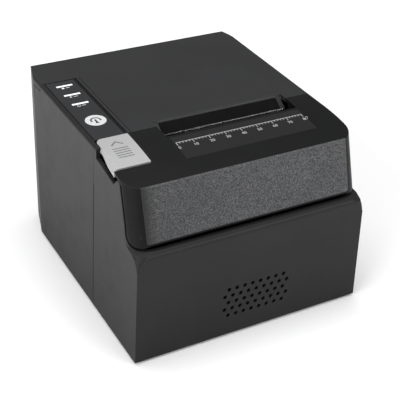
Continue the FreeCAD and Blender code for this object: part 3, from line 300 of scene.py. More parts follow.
@dataclass(frozen=True)
class MouldedPlastic:
    """Injection-moulded plastic with a fine spark-eroded grain, and edges lightened in colour: partly
    worn, partly a painted highlight.

    Top sheen is a clear coat that grows towards the printer's top: a painted sheen that makes the upper
    faces lighter than the lower ones.
    """

    colour: Colour
    roughness: float
    rubbed: Colour
    grain: float = 0.45 * MM
    grain_depth: float = 0.030 * MM
    grain_strength: float = 0.35
    edge_radius: float = 0.35 * MM
    edge_share: float = 0.5
    gloss: float = 0.5
    polish: float = 0.0

    def material(self, name: str) -> bpy.types.Material:
        """Build the material.

        Args:
            name: The material's name.

        Returns:
            The material.
        """
        shader = Shader(name)
        soft, edge = shader.worn_edge(self.edge_radius)
        grain = shader.noise(self.grain, 3.0)
        cloud = shader.noise(38.0 * MM, 3.0)
        smudge = shader.ramp(shader.noise(11.0 * MM, 4.0), ((0.45, 0.0), (0.72, 1.0)))
        deep = tuple(part * 0.82 for part in self.colour)
        base = shader.blend(shader.ramp(cloud, ((0.35, 0.0), (0.65, 1.0))), deep, self.colour)
        # Edges lightened towards the edge colour: partly wear, partly a painted highlight.
        base = shader.blend(edge * self.edge_share, base, self.rubbed)
        rough = self.roughness + 0.10 * (grain - 0.5) + 0.05 * smudge - 0.08 * edge
        normal = shader.raised(grain, self.grain_depth, self.grain_strength, soft)
        # Painted sheen: the coat grows with height, so upper faces look lighter than lower ones.
        height = shader.node("ShaderNodeSeparateXYZ", {}, {"Vector": shader.place}, out="Z")
        height_sheen = shader.ramp(height / CAD_BOX[1][2], ((0.05, 0.0), (0.95, 1.0)))
        return shader.finish(Base_Color=base, Roughness=rough, Normal=normal,
                             Specular_IOR_Level=self.gloss, Coat_Weight=self.polish * height_sheen,
                             Coat_Roughness=0.32)


@dataclass(frozen=True)
class SpeckledPanel:
    """Printed panel with pale grains scattered over a dark ground.

    Towards its left end, where the panel turns round the cover's corner, the colour darkens to
    near-black: painted shade for the curved corner.
    """

    ground: Colour
    grain: Colour
    roughness: float
    left_end: float
    fade: float = 60.0 * MM
    grain_size: float = 0.36 * MM

    def material(self, name: str) -> bpy.types.Material:
        """Build the material.

        Args:
            name: The material's name.

        Returns:
            The material.
        """
        shader = Shader(name)
        soft, edge = shader.worn_edge(0.3 * MM)
        fine = shader.noise(self.grain_size, 2.0)
        coarse = shader.noise(self.grain_size * 2.3, 1.0)
        spots = shader.ramp(0.62 * fine + 0.38 * coarse, ((0.46, 0.0), (0.58, 1.0)))
        patch = shader.noise(16.0 * MM, 2.0)
        base = shader.blend(spots * (0.72 + 0.5 * (patch - 0.5)), self.ground, self.grain)
        # Painted shade: the colour darkens to near-black towards the left end, where the panel turns
        # round the corner.
        across = shader.node("ShaderNodeSeparateXYZ", {}, {"Vector": shader.place}, out="X")
        unshaded_share = shader.ramp((across - self.left_end) / self.fade,
                              ((0.0, 0.0), (0.04, 0.30), (0.12, 0.80), (1.0, 1.0)))
        base = shader.blend(unshaded_share, (0.006, 0.006, 0.0065), base)
        # Edges lightened to the grain colour: partly wear, partly a painted highlight.
        base = shader.blend(edge * 0.7, base, self.grain)
        rough = self.roughness + 0.12 * (fine - 0.5) - 0.10 * edge
        normal = shader.raised(spots, 0.02 * MM, 0.35, soft)
        return shader.finish(Base_Color=base, Roughness=rough, Normal=normal)


@dataclass(frozen=True)
class SilverPaint:
    """Silver paint on plastic: fine flakes under a satin coat, with edges lightened: partly worn paint,
    partly a painted highlight.
    """

    colour: Colour
    metal: float
    roughness: float

    def material(self, name: str) -> bpy.types.Material:
        """Build the material.

        Args:
            name: The material's name.

        Returns:
            The material.
        """
        shader = Shader(name)
        soft, edge = shader.worn_edge(0.35 * MM)
        flakes = shader.noise(0.16 * MM, 2.0)
        cloud = shader.noise(9.0 * MM, 2.0)
        dull = tuple(part * 0.80 for part in self.colour)
        bright = tuple(min(1.0, part * 1.30) for part in self.colour)
        base = shader.blend(shader.ramp(flakes, ((0.35, 0.0), (0.65, 1.0))), dull, self.colour)
        # Edges brightened above the paint colour: partly wear, partly a painted highlight.
        base = shader.blend(edge * 0.6, base, bright)
        rough = self.roughness + 0.14 * (flakes - 0.5) + 0.10 * (cloud - 0.5)
        normal = shader.raised(flakes, 0.01 * MM, 0.25, soft)
        return shader.finish(Base_Color=base, Roughness=rough, Normal=normal, Metallic=self.metal)


@dataclass(frozen=True)
class WorkedMetal:
    """Rolled, drawn or ground metal with fine lines one way and faint oil marks."""

    colour: Colour
    roughness: float
    lines: Axis = Axis.ALONG_X
    line_strength: float = 0.25

    def material(self, name: str) -> bpy.types.Material:
        """Build the material.

        Args:
            name: The material's name.

        Returns:
            The material.
        """
        shader = Shader(name)
        soft, edge = shader.worn_edge(0.2 * MM)
        lines = shader.noise(1.0, 3.0, stretch=self.lines.value)
        stain = shader.ramp(shader.noise(7.0 * MM, 3.0), ((0.48, 0.0), (0.75, 1.0)))
        dull = tuple(part * 0.74 for part in self.colour)
        base = shader.blend(lines, dull, self.colour)
        base = shader.blend(stain * 0.35, base, dull)
        base = shader.blend(edge * 0.6, base, (0.86, 0.87, 0.88))
        rough = self.roughness + 0.16 * (lines - 0.5) + 0.12 * stain
        normal = shader.raised(lines, 0.01 * MM, self.line_strength, soft)
        return shader.finish(Base_Color=base, Roughness=rough, Normal=normal, Metallic=1.0)


@dataclass(frozen=True)
class SoftRubber:
    """Dense rubber with a matt bloom."""

    colour: Colour
    roughness: float
    gloss: float = 0.4

    def material(self, name: str) -> bpy.types.Material:
        """Build the material.

        Args:
            name: The material's name.

        Returns:
            The material.
        """
        shader = Shader(name)
        soft, edge = shader.worn_edge(0.4 * MM)
        pores = shader.noise(0.25 * MM, 4.0)
        bloom = shader.ramp(shader.noise(6.0 * MM, 3.0), ((0.42, 0.0), (0.74, 1.0)))
        dusty = tuple(part * 2.4 + 0.002 for part in self.colour)
        base = shader.blend(bloom * 0.4 + edge * 0.3, self.colour, dusty)
        rough = self.roughness + 0.10 * (pores - 0.5)
        normal = shader.raised(pores, 0.04 * MM, 0.4, soft)
        return shader.finish(Base_Color=base, Roughness=rough, Normal=normal,
                             Specular_IOR_Level=self.gloss)


@dataclass(frozen=True)
class CircuitBoard:
    """Green solder mask over copper tracks."""

    mask: Colour
    track: Colour

    def material(self, name: str) -> bpy.types.Material:
        """Build the material.

        Args:
            name: The material's name.

        Returns:
            The material.
        """
        shader = Shader(name)
        soft, edge = shader.worn_edge(0.2 * MM)
        bricks = shader.node("ShaderNodeTexBrick", {"offset": 0.35, "squash": 2.2},
                             {"Vector": shader.place, "Scale": 90.0, "Mortar Size": 0.012,
                              "Color1": (0.0, 0.0, 0.0), "Color2": (0.0, 0.0, 0.0),
                              "Mortar": (1.0, 1.0, 1.0)}, out="Fac")
        weave = shader.noise(1.2 * MM, 2.0)
        base = shader.blend(bricks * 0.7, self.mask, self.track)
        base = shader.blend(0.35 * weave, base, tuple(part * 0.5 for part in self.mask))
        base = shader.blend(edge * 0.5, base, (0.45, 0.42, 0.26))
        normal = shader.raised(bricks, 0.03 * MM, 0.5, soft)
        return shader.finish(Base_Color=base, Roughness=0.30 + 0.2 * weave, Normal=normal)


@dataclass(frozen=True)
class PrintedInk:
    """Screen-printed ink or a milky light guide, with slight unevenness."""

    colour: Colour
    glow: float = 0.0
    roughness: float = 0.5

    def material(self, name: str) -> bpy.types.Material:
        """Build the material.

        Args:
            name: The material's name.

        Returns:
            The material.
        """
        shader = Shader(name)
        soft, edge = shader.worn_edge(0.1 * MM)
        film = shader.noise(0.5 * MM, 3.0)
        thin = tuple(part * 0.86 for part in self.colour)
        base = shader.blend(film, thin, self.colour)
        rough = self.roughness + 0.2 * (film - 0.5) - 0.1 * edge
        normal = shader.raised(film, 0.01 * MM, 0.15, soft)
        return shader.finish(Base_Color=base, Roughness=rough, Normal=normal,
                             Emission_Color=base, Emission_Strength=self.glow)


@dataclass(frozen=True)
class PolyesterFilm:
    """Grey film with a satin printed back and faint handling scratches."""

    colour: Colour
    roughness: float
    gloss: float = 0.2

    def material(self, name: str) -> bpy.types.Material:
        """Build the material.

        Args:
            name: The material's name.

        Returns:
            The material.
        """
        shader = Shader(name)
        soft, edge = shader.worn_edge(0.1 * MM)
        scratch = shader.noise(1.0, 2.0, stretch=(900.0, 40.0, 900.0))
        cloud = shader.noise(12.0 * MM, 2.0)
        pale = tuple(part * 1.25 for part in self.colour)
        base = shader.blend(0.5 * cloud + 0.3 * edge, self.colour, pale)
        rough = self.roughness + 0.10 * (scratch - 0.5)
        normal = shader.raised(scratch, 0.01 * MM, 0.12, soft)
        return shader.finish(Base_Color=base, Roughness=rough, Normal=normal,
                             Specular_IOR_Level=self.gloss)


# Edge colour of the black plastics: partly wear, partly a painted highlight.
BLACK_EDGE_WEAR_AND_HIGHLIGHT = (0.075, 0.077, 0.080)
FINISHES = {
    "case_black": MouldedPlastic((0.0138, 0.0137, 0.0145), 0.50, BLACK_EDGE_WEAR_AND_HIGHLIGHT, gloss=0.17,
                                 polish=0.22),
    "lid_black": MouldedPlastic((0.0150, 0.0154, 0.0166), 0.48, BLACK_EDGE_WEAR_AND_HIGHLIGHT, gloss=0.38),
    "cover_black": MouldedPlastic((0.0045, 0.0047, 0.0051), 0.42, BLACK_EDGE_WEAR_AND_HIGHLIGHT, grain_strength=0.22,
                                  gloss=0.16),
    "inlay_grey": SpeckledPanel((0.018, 0.0185, 0.020), (0.150, 0.152, 0.158), 0.46,
                                left_end=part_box("front_inlay")[0].x),
    "strip_grey": MouldedPlastic((0.020, 0.0205, 0.0225), 0.34, (0.10, 0.10, 0.11),
                                 grain_strength=0.10, grain_depth=0.015 * MM, gloss=0.35),
    "silver_plastic": SilverPaint((0.50, 0.50, 0.505), 0.28, 0.38),
    "button_silver": SilverPaint((0.74, 0.75, 0.75), 0.10, 0.34),
    "light_white": PrintedInk((0.86, 0.88, 0.88), glow=0.35, roughness=0.35),
    "film_grey": PolyesterFilm((0.0125, 0.0125, 0.0130), 0.36),
    "inner_plastic": MouldedPlastic((0.030, 0.030, 0.032), 0.58, BLACK_EDGE_WEAR_AND_HIGHLIGHT),
    "gear_white": MouldedPlastic((0.66, 0.65, 0.60), 0.42, (0.74, 0.73, 0.69), grain_strength=0.15),
    "bush_black": MouldedPlastic((0.045, 0.045, 0.045), 0.46, BLACK_EDGE_WEAR_AND_HIGHLIGHT),
    "zinc_steel": WorkedMetal((0.60, 0.61, 0.62), 0.34, Axis.ALONG_Y),
    "blade_steel": WorkedMetal((0.70, 0.70, 0.71), 0.22, Axis.ALONG_X),
    "pin_steel": WorkedMetal((0.64, 0.64, 0.65), 0.24, Axis.ALONG_X, 0.15),
    "spring_steel": WorkedMetal((0.46, 0.46, 0.47), 0.30, Axis.ALONG_X, 0.15),
    "motor_steel": WorkedMetal((0.42, 0.43, 0.44), 0.36, Axis.ALONG_X),
    "screw_steel": WorkedMetal((0.34, 0.34, 0.36), 0.34, Axis.ALONG_Z),
    "heat_alu": WorkedMetal((0.66, 0.67, 0.68), 0.40, Axis.ALONG_X),
    "head_ceramic": MouldedPlastic((0.72, 0.72, 0.69), 0.22, (0.80, 0.80, 0.78), grain_strength=0.08),
    "roller_rubber": SoftRubber((0.022, 0.022, 0.023), 0.72),
    "foot_rubber": SoftRubber((0.026, 0.026, 0.026), 0.82),
    "board_green": CircuitBoard((0.016, 0.085, 0.038), (0.050, 0.190, 0.085)),
    "socket_metal": WorkedMetal((0.62, 0.63, 0.64), 0.26, Axis.ALONG_Y),
    "socket_black": MouldedPlastic((0.026, 0.026, 0.028), 0.48, BLACK_EDGE_WEAR_AND_HIGHLIGHT),
    "socket_pale": MouldedPlastic((0.60, 0.57, 0.50), 0.46, (0.68, 0.66, 0.60)),
    "rocker_black": MouldedPlastic((0.014, 0.014, 0.015), 0.26, BLACK_EDGE_WEAR_AND_HIGHLIGHT, grain_strength=0.08),
    "sounder_black": MouldedPlastic((0.022, 0.022, 0.023), 0.55, BLACK_EDGE_WEAR_AND_HIGHLIGHT),
    "print_white": PrintedInk((0.78, 0.79, 0.80)),
    "print_faint": PrintedInk((0.52, 0.52, 0.53)),
    # Near-black: also used for sheets of painted shade in the paper slot and along the case seam.
    "matt_black": SoftRubber((0.0012, 0.0012, 0.0013), 0.80, gloss=0.12),
    # Lighter than the lid's black: a painted highlight on the slot's guide ribs.
    "rib_highlight_grey": MouldedPlastic((0.055, 0.056, 0.060), 0.40, (0.16, 0.16, 0.17)),
    "print_dark": PrintedInk((0.035, 0.036, 0.040)),
    "engraved_shade": PrintedInk((0.16, 0.16, 0.16)),
    "contact_gold": WorkedMetal((0.83, 0.62, 0.25), 0.24, Axis.ALONG_Y, 0.15),
}


class Paintbox:
    """Makes each finish's material once and hands it out."""

    def __init__(self) -> None:
        """Start empty."""
        self._made: dict[str, bpy.types.Material] = {}

    def get(self, name: str) -> bpy.types.Material:
        """Return the material of a finish.

        Args:
            name: The finish's name.

        Returns:
            Its material.
        """
        if name not in self._made:
            self._made[name] = FINISHES[name].material(name)
        return self._made[name]

    def dress_frame(self) -> None:
        """Give every node of the frame the finish of its slot in the record."""
        for part in frame["record"]["subparts"]:
            node = frame["nodes"][part["node"]]
            material = self.get(part["material_slot"])
            if not node.data.materials:
                node.data.materials.append(material)
            for slot in node.material_slots:
                slot.material = material
            log.info("dressed %s in %s", node.name, material.name)


# ---------------------------------------------------------------- thin marks

WELD = 0.01 * MM
SUNK_SHARE = 0.4
RING_STEPS = 48
FONT_SIZE_PER_HEIGHT = 1.4


def new_piece(name: str, shape: bmesh.types.BMesh) -> bpy.types.Object:
    """Turn a shape into an object of the scene, and free the shape.

    Args:
        name: The object's name.
        shape: Its shape.

    Returns:
        The object.
    """
    mesh = bpy.data.meshes.new(name)
    shape.to_mesh(mesh)
    shape.free()
    item = bpy.data.objects.new(name, mesh)
    bpy.context.scene.collection.objects.link(item)
    return item


def round_edges(shape: bmesh.types.BMesh, radius: float) -> None:
    """Round every edge of a shape.

    Args:
        shape: The shape.
        radius: How far each edge is cut back.
    """
    bmesh.ops.bevel(shape, geom=list(shape.edges), offset=radius, segments=2, affect="EDGES",
                    profile=0.5, material=-1)


class Surface:
    """A node's outside, to lay thin marks on."""

    def __init__(self, node: str) -> None:
        """Prepare a node for ray casts.

        Args:
            node: The node's name.
        """
        mesh = frame["nodes"][node].data
        corners = [vertex.co for vertex in mesh.vertices]
        faces = [tuple(face.vertices) for face in mesh.polygons]
        self.tree = BVHTree.FromPolygons(corners, faces)
        self.low, self.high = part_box(node)

    def height(self, x: float, y: float) -> float:
        """Find how high the node's top is at a place.

        Args:
            x: The place's X.
            y: The place's Y.

        Returns:
            The height, or the node's highest point where it has no top.
        """
        hit = self.tree.ray_cast(Vector((x, y, self.high.z + MM)), Vector((0.0, 0.0, -1.0)))
        return self.high.z if hit[0] is None else hit[0].z

    def side(self, side: int, y: float, z: float) -> Vector:
        """Find a point on the node's left or right face.

        Args:
            side: -1 for the left face, 1 for the right.
            y: The point's Y.
            z: The point's Z.

        Returns:
            The point.
        """
        outside = Vector((side * (self.high.x + 10.0 * MM), y, z))
        return self.tree.ray_cast(outside, Vector((-side, 0.0, 0.0)))[0]


class MarkSheet:
    """Flat shapes that are drawn in plan, then laid on a surface and given a thickness."""

    def __init__(self, cell: float = 1.5 * MM) -> None:
        """Start an empty sheet.

        Args:
            cell: Longest edge left before a shape is laid on a curved surface.
        """
        self.mesh = bmesh.new()
        self.cell = cell

    def bar(self, middle: Spot, size: Spot, turn: float = 0.0) -> None:
        """Add a rectangle.

        Args:
            middle: Its centre.
            size: Its length and width.
            turn: Its turn in degrees.
        """
        made = bmesh.ops.create_grid(self.mesh, x_segments=max(1, math.ceil(size[0] / self.cell)),
                                     y_segments=max(1, math.ceil(size[1] / self.cell)), size=0.5)
        place = (Matrix.Translation((*middle, 0.0)) @ Matrix.Rotation(math.radians(turn), 4, "Z")
                 @ Matrix.Diagonal((*size, 1.0, 1.0)))
        bmesh.ops.transform(self.mesh, matrix=place, verts=made["verts"])

    def triangle(self, middle: Spot, radius: float) -> None:
        """Add a filled triangle.

        Args:
            middle: Its centre.
            radius: How far its corners are from its centre.
        """
        bmesh.ops.create_circle(self.mesh, cap_ends=True, segments=3, radius=radius,
                                matrix=Matrix.Translation((*middle, 0.0)))

    def ring(self, middle: Spot, radius: float, width: float, span: float = 360.0,
             start: float = 0.0) -> None:
        """Add a ring or part of one.

        Args:
            middle: Its centre.
            radius: Its outer radius.
            width: Its width.
            span: How far round it goes, in degrees.
            start: Where it starts, in degrees.
        """
        angle = math.radians(start)
        way = Vector((math.cos(angle), math.sin(angle), 0.0))
        centre = Vector((*middle, 0.0))
        ends = [self.mesh.verts.new(centre + way * reach) for reach in (radius - width, radius)]
        edge = self.mesh.edges.new(ends)
        bmesh.ops.spin(self.mesh, geom=[*ends, edge], cent=centre, axis=(0.0, 0.0, 1.0),
                       angle=math.radians(span), steps=RING_STEPS, use_merge=span >= 360.0)

    def numeral(self, text: str, middle: Spot, height: float) -> None:
        """Add plain numerals.

        Args:
            text: The numerals.
            middle: Their centre.
            height: Their height.
        """
        curve = bpy.data.curves.new("numeral", "FONT")
        curve.body = text
        curve.size = height * FONT_SIZE_PER_HEIGHT
        curve.resolution_u = 3
        curve.align_x = "CENTER"
        curve.align_y = "CENTER"
        holder = bpy.data.objects.new("numeral", curve)
        flat = bpy.data.meshes.new_from_object(holder)
        flat.transform(Matrix.Translation((*middle, 0.0)))
        self.mesh.from_mesh(flat)
        bpy.data.objects.remove(holder)
        bpy.data.curves.remove(curve)
        bpy.data.meshes.remove(flat)

    def lay(self, name: str, surface: Surface, thickness: float) -> bpy.types.Object:
        """Lay the sheet on a surface and close it.

        Args:
            name: The piece's name.
            surface: What it lies on.
            thickness: How far it stands out.

        Returns:
            The finished piece.
        """
        bmesh.ops.remove_doubles(self.mesh, verts=self.mesh.verts, dist=WELD)
        self.thicken(thickness)
        for vertex in self.mesh.verts:
            vertex.co.z += surface.height(vertex.co.x, vertex.co.y) - SUNK_SHARE * thickness
        return new_piece(name, self.mesh)

    def thicken(self, thickness: float) -> None:
        """Turn the flat faces into closed slabs.

        Args:
            thickness: The slabs' thickness.
        """
        faces = list(self.mesh.faces)
        bmesh.ops.recalc_face_normals(self.mesh, faces=faces)
        made = bmesh.ops.extrude_face_region(self.mesh, geom=faces, use_keep_orig=True)
        lifted = [item for item in made["geom"] if isinstance(item, bmesh.types.BMVert)]
        bmesh.ops.translate(self.mesh, vec=(0.0, 0.0, thickness), verts=lifted)
        bmesh.ops.recalc_face_normals(self.mesh, faces=self.mesh.faces)

    def stand(self, name: str, thickness: float, place: Matrix) -> bpy.types.Object:
        """Close the sheet and set it on a flat face.

        Args:
            name: The piece's name.
            thickness: How far it stands out.
            place: Where its plan lies.

        Returns:
            The finished piece.
        """
        bmesh.ops.remove_doubles(self.mesh, verts=self.mesh.verts, dist=WELD)
        self.thicken(thickness)
        bmesh.ops.transform(self.mesh, matrix=place, verts=self.mesh.verts)
        return new_piece(name, self.mesh)


def fit_out(item: bpy.types.Object, body: str, material: bpy.types.Material) -> None:
    """Put a finish on a new piece and fasten it to its body.

    Args:
        item: The piece.
        body: The body that it rides on.
        material: The finish.
    """
    item.data.materials.append(material)
    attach(item, body)
    log.info("built %s on %s with %d faces", item.name, body, len(item.data.polygons))


# ---------------------------------------------------------------- sub-assemblies


@dataclass
class LeverMarks:
    """Engraved ribs and an arrow on the release lever."""

    rib_length: float = 9.0 * MM
    rib_width: float = 0.7 * MM
    rib_pitch: float = 2.1 * MM
    ribs: int = 5
    off_centre: float = 0.6 * MM
    first_rib: float = 8.5 * MM
    arrow_gap: float = 4.6 * MM
    arm: float = 5.0 * MM
    arm_width: float = 0.9 * MM
    arm_turn: float = 42.0
    depth: float = 0.05 * MM

    def build(self, paint: Paintbox) -> None:
        """Build the marks.

        Args:
            paint: The finishes.
        """
        surface = Surface("release_lever")
        x = (surface.low.x + surface.high.x) / 2 + self.off_centre
        y = surface.low.y + self.first_rib
        sheet = MarkSheet()
        for rib in range(self.ribs):
            sheet.bar((x, y + rib * self.rib_pitch), (self.rib_length, self.rib_width))
        tip = y + self.ribs * self.rib_pitch + self.arrow_gap
        for side in (-1, 1):
            sheet.bar((x + side * self.arm * 0.32, tip - self.arm * 0.30), (self.arm, self.arm_width),
                      turn=-side * self.arm_turn)
        fit_out(sheet.lay("lever_marks", surface, self.depth), "lever",
                paint.get("engraved_shade"))


@dataclass
class PanelMarks:
    """Icons beside the lamps and on the feed button, and the grooves along the strip."""

    lamp_places: tuple[float, ...] = (24.0 * MM, 36.0 * MM, 48.0 * MM)
    icon: float = 1.0 * MM
    stroke: float = 0.28 * MM
    square: Spot = (1.5 * MM, 1.7 * MM)
    line: Spot = (2.4 * MM, 0.5 * MM)
    before_lamp: float = 2.6 * MM
    icon_left: float = 1.6 * MM
    line_right: float = 1.4 * MM
    ink: float = 0.03 * MM
    groove: float = 0.60 * MM
    groove_rim: float = 0.1 * MM

    def build(self, paint: Paintbox) -> None:
        """Build the marks.

        Args:
            paint: The finishes.
        """
        strip = Surface("control_strip")
        x = (strip.low.x + strip.high.x) / 2
        icons = MarkSheet()
        left, right = x - self.icon_left, x + self.line_right
        first, second, third = (lamp - self.before_lamp for lamp in self.lamp_places)
        icons.ring((left, first), self.icon, self.stroke)
        icons.bar((right, first), self.line)
        icons.triangle((left, second), self.icon)
        icons.bar((right, second), self.line)
        icons.bar((left, third), self.square)
        icons.bar((right, third), self.line)
        fit_out(icons.lay("lamp_marks", strip, self.ink), "case",
                paint.get("print_white"))
        self.build_grooves(strip, paint)
        self.build_button(paint)

    def build_grooves(self, strip: Surface, paint: Paintbox) -> None:
        """Build the dark lines round the strip: one on the left and rear, two on the right.

        Args:
            strip: The strip's outside.
            paint: The finishes.
        """
        lines = MarkSheet(cell=8.0 * MM)
        length = strip.high.y - strip.low.y - 0.4 * MM
        middle = (strip.high.y + strip.low.y) / 2
        inner = self.groove / 2 + self.groove_rim
        for x in (strip.low.x + inner, strip.high.x - inner, strip.high.x - 3.2 * inner):
            lines.bar((x, middle), (self.groove, length))
        lines.bar(((strip.low.x + strip.high.x) / 2, strip.high.y - inner - self.groove_rim),
                  (strip.high.x - strip.low.x - 4.0 * inner, self.groove))
        fit_out(lines.lay("strip_grooves", strip, self.ink), "case",
                paint.get("matt_black"))

    def build_button(self, paint: Paintbox) -> None:
        """Build the feed icon on the button: a sheet leaving a curved guide.

        Args:
            paint: The finishes.
        """
        button = Surface("feed_button")
        x = (button.low.x + button.high.x) / 2
        y = (button.low.y + button.high.y) / 2
        icon = MarkSheet()
        icon.ring((x, y), 3.2 * MM, 0.95 * MM, span=230.0, start=-25.0)
        icon.bar((x - 0.2 * MM, y - 0.9 * MM), (1.1 * MM, 3.6 * MM))
        icon.triangle((x - 0.2 * MM, y - 2.7 * MM), 1.4 * MM)
        fit_out(icon.lay("button_icon", button, self.ink), "button",
                paint.get("print_dark"))


@dataclass
class FilmScale:
    """White paper-width scale printed on the film in front of the slot."""

    span: float = 80.0 * MM
    step: float = 2.0 * MM
    line: float = 0.35 * MM
    long_tick: float = 2.6 * MM
    short_tick: float = 1.3 * MM
    from_rear: float = 5.0 * MM
    numeral: float = 2.2 * MM
    numeral_drop: float = 4.9 * MM
    ink: float = 0.03 * MM

    def build(self, paint: Paintbox) -> None:
        """Build the scale.

        Args:
            paint: The finishes.
        """
        film = Surface("notice_film")
        middle = (film.low.x + film.high.x) / 2
        y = film.high.y - self.from_rear
        sheet = MarkSheet()
        sheet.bar((middle, y), (self.span, self.line))
        count = round(self.span / self.step)
        for tick in range(count + 1):
            x = middle - self.span / 2 + tick * self.step
            numbered = tick % 5 == 0
            length = self.long_tick if numbered else self.short_tick
            sheet.bar((x, y - length / 2), (self.line, length))
            if numbered:
                label = str(round(tick * self.step / MM))
                sheet.numeral(label, (x, y - self.numeral_drop), self.numeral)
        fit_out(sheet.lay("film_scale", film, self.ink), "cover",
                paint.get("print_faint"))


@dataclass
class SlotLining:
    """Near-black sheet over the paper slot's rear slope, painted shade for the dark trough, with the
    guide ribs that the paper slides on.
    """

    rib_pitch: float = 1.4 * MM
    rib_width: float = 0.6 * MM
    rib_length: float = 1.1 * MM
    rim: float = 1.0 * MM
    thickness: float = 0.04 * MM
    cell: float = 0.7 * MM
    longest_slope: float = 12.0 * MM

    def build(self, paint: Paintbox) -> None:
        """Build the shade sheet and the ribs.

        Args:
            paint: The finishes.
        """
        lid = Surface("paper_lid")
        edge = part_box("tear_edge")
        left, right = edge[0].x + self.rim, edge[1].x - self.rim
        front = lid.low.y + 0.2 * MM
        rear = front + self.slope_length(lid, (left + right) / 2, front)
        # Painted shade: a near-black sheet darkens the trough's rear slope.
        shade_sheet = MarkSheet(cell=self.cell)
        shade_sheet.bar(((left + right) / 2, (front + rear) / 2), (right - left, rear - front))
        fit_out(shade_sheet.lay("slot_shade_sheet", lid, self.thickness), "lid",
                paint.get("matt_black"))
        # The ribs are lighter grey than the lid: a painted highlight on their tops.
        ribs = MarkSheet(cell=self.cell)
        count = int((right - left - self.rib_width) / self.rib_pitch)
        for rib in range(count + 1):
            x = (left + right) / 2 + (rib - count / 2) * self.rib_pitch
            ribs.bar((x, rear - 0.3 * MM), (self.rib_width, self.rib_length))
        fit_out(ribs.lay("slot_ribs", lid, 3.0 * self.thickness), "lid",
                paint.get("rib_highlight_grey"))

    def slope_length(self, lid: Surface, x: float, front: float) -> float:
        """Find how far the slope runs before it meets the lid's flat top.

        Args:
            lid: The lid.
            x: Where to look along the slot.
            front: Where the slope starts.

        Returns:
            The slope's length in plan.
        """
        length = 0.0
        while lid.height(x, front + length) < lid.high.z - 0.15 * MM and length < self.longest_slope:
            length += 0.2 * MM
        return length


@dataclass
class CaseSeal:
    """Near-black strip in the seam between the two halves of the case: painted shade for the seam's
    dark line, not a real seal.
    """

    width: float = 0.55 * MM
    proud: float = 0.05 * MM
    depth: float = 0.6 * MM
    foot: float = 4.0 * MM
    head: float = 84.0 * MM
    behind: float = 1.0 * MM
    rounding: float = 0.04 * MM

    def build(self, paint: Paintbox) -> None:
        """Build one strip on each side, leaning with the wall.

        Args:
            paint: The finishes.
        """
        seam = (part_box("rear_case")[0].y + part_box("front_case")[1].y) / 2
        strips = bmesh.new()
        wall = Surface("rear_case")
        for side in (-1, 1):
            low, high = (wall.side(side, seam + self.behind, z) for z in (self.foot, self.head))
            rise = high - low
            size = Matrix.Diagonal((self.depth, self.width, rise.length, 1.0))
            lean = Matrix.Rotation(math.atan2(rise.x, rise.z), 4, "Y")
            middle = (low + high) / 2 - Vector((side * (self.depth / 2 - self.proud), self.behind, 0.0))
            bmesh.ops.create_cube(strips, size=1.0, matrix=Matrix.Translation(middle) @ lean @ size)
        round_edges(strips, self.rounding)
        # Painted shade: near-black strips darken the seam line.
        fit_out(new_piece("seam_shadow_strip", strips), "case", paint.get("matt_black"))


@dataclass
class RearMarks:
    """Plain numbers over the rear sockets, and the sockets' contacts."""

    sockets: tuple[str, ...] = ("power_inlet", "data_socket", "network_socket", "drawer_socket")
    numeral: float = 3.4 * MM
    above: float = 4.0 * MM
    ink: float = 0.03 * MM
    contact_pitch: float = 1.02 * MM
    contact_root: Spot = (9.2 * MM, 2.2 * MM)
    contact_rise: Spot = (6.2 * MM, 1.7 * MM)
    contact_section: Spot = (0.45 * MM, 0.30 * MM)
    contact_rounding: float = 0.06 * MM
    contacts: dict[str, int] = field(default_factory=lambda: {"network_socket": 8, "drawer_socket": 6})

    def build(self, paint: Paintbox) -> None:
        """Build the numbers and the contacts.

        Args:
            paint: The finishes.
        """
        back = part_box("rear_case")[1].y
        sheet = MarkSheet()
        top = max(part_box(name)[1].z for name in self.sockets)
        for number, name in enumerate(self.sockets, start=1):
            left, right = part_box(name)
            sheet.numeral(str(number), (-(left.x + right.x) / 2, top + self.above), self.numeral)
        place = Matrix.Translation((0.0, back - SUNK_SHARE * self.ink, 0.0)) @ Matrix(
            ((-1.0, 0.0, 0.0, 0.0), (0.0, 0.0, 1.0, 0.0), (0.0, 1.0, 0.0, 0.0), (0.0, 0.0, 0.0, 1.0)))
        fit_out(sheet.stand("socket_numbers", self.ink, place), "case",
                paint.get("print_white"))
        for name, count in self.contacts.items():
            self.build_contacts(name, count, paint)

    def build_contacts(self, name: str, count: int, paint: Paintbox) -> None:
        """Build a socket's row of spring contacts.

        Args:
            name: The socket's node.
            count: How many contacts it has.
            paint: The finishes.
        """
        low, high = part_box(name)
        middle = (low.x + high.x) / 2
        inward, upward = self.contact_root
        rise = Vector((0.0, *self.contact_rise))
        wires = bmesh.new()
        for contact in range(count):
            x = middle + (contact - (count - 1) / 2) * self.contact_pitch
            start = Vector((x, high.y - inward, low.z + upward))
            size = Matrix.Diagonal((self.contact_section[0], rise.length, self.contact_section[1], 1.0))
            lean = Matrix.Rotation(math.atan2(rise.z, rise.y), 4, "X")
            bmesh.ops.create_cube(wires, size=1.0,
                                  matrix=Matrix.Translation(start + rise / 2) @ lean @ size)
        round_edges(wires, self.contact_rounding)
        fit_out(new_piece(name + "_contacts", wires), "case",
                paint.get("contact_gold"))


# ---------------------------------------------------------------- studio


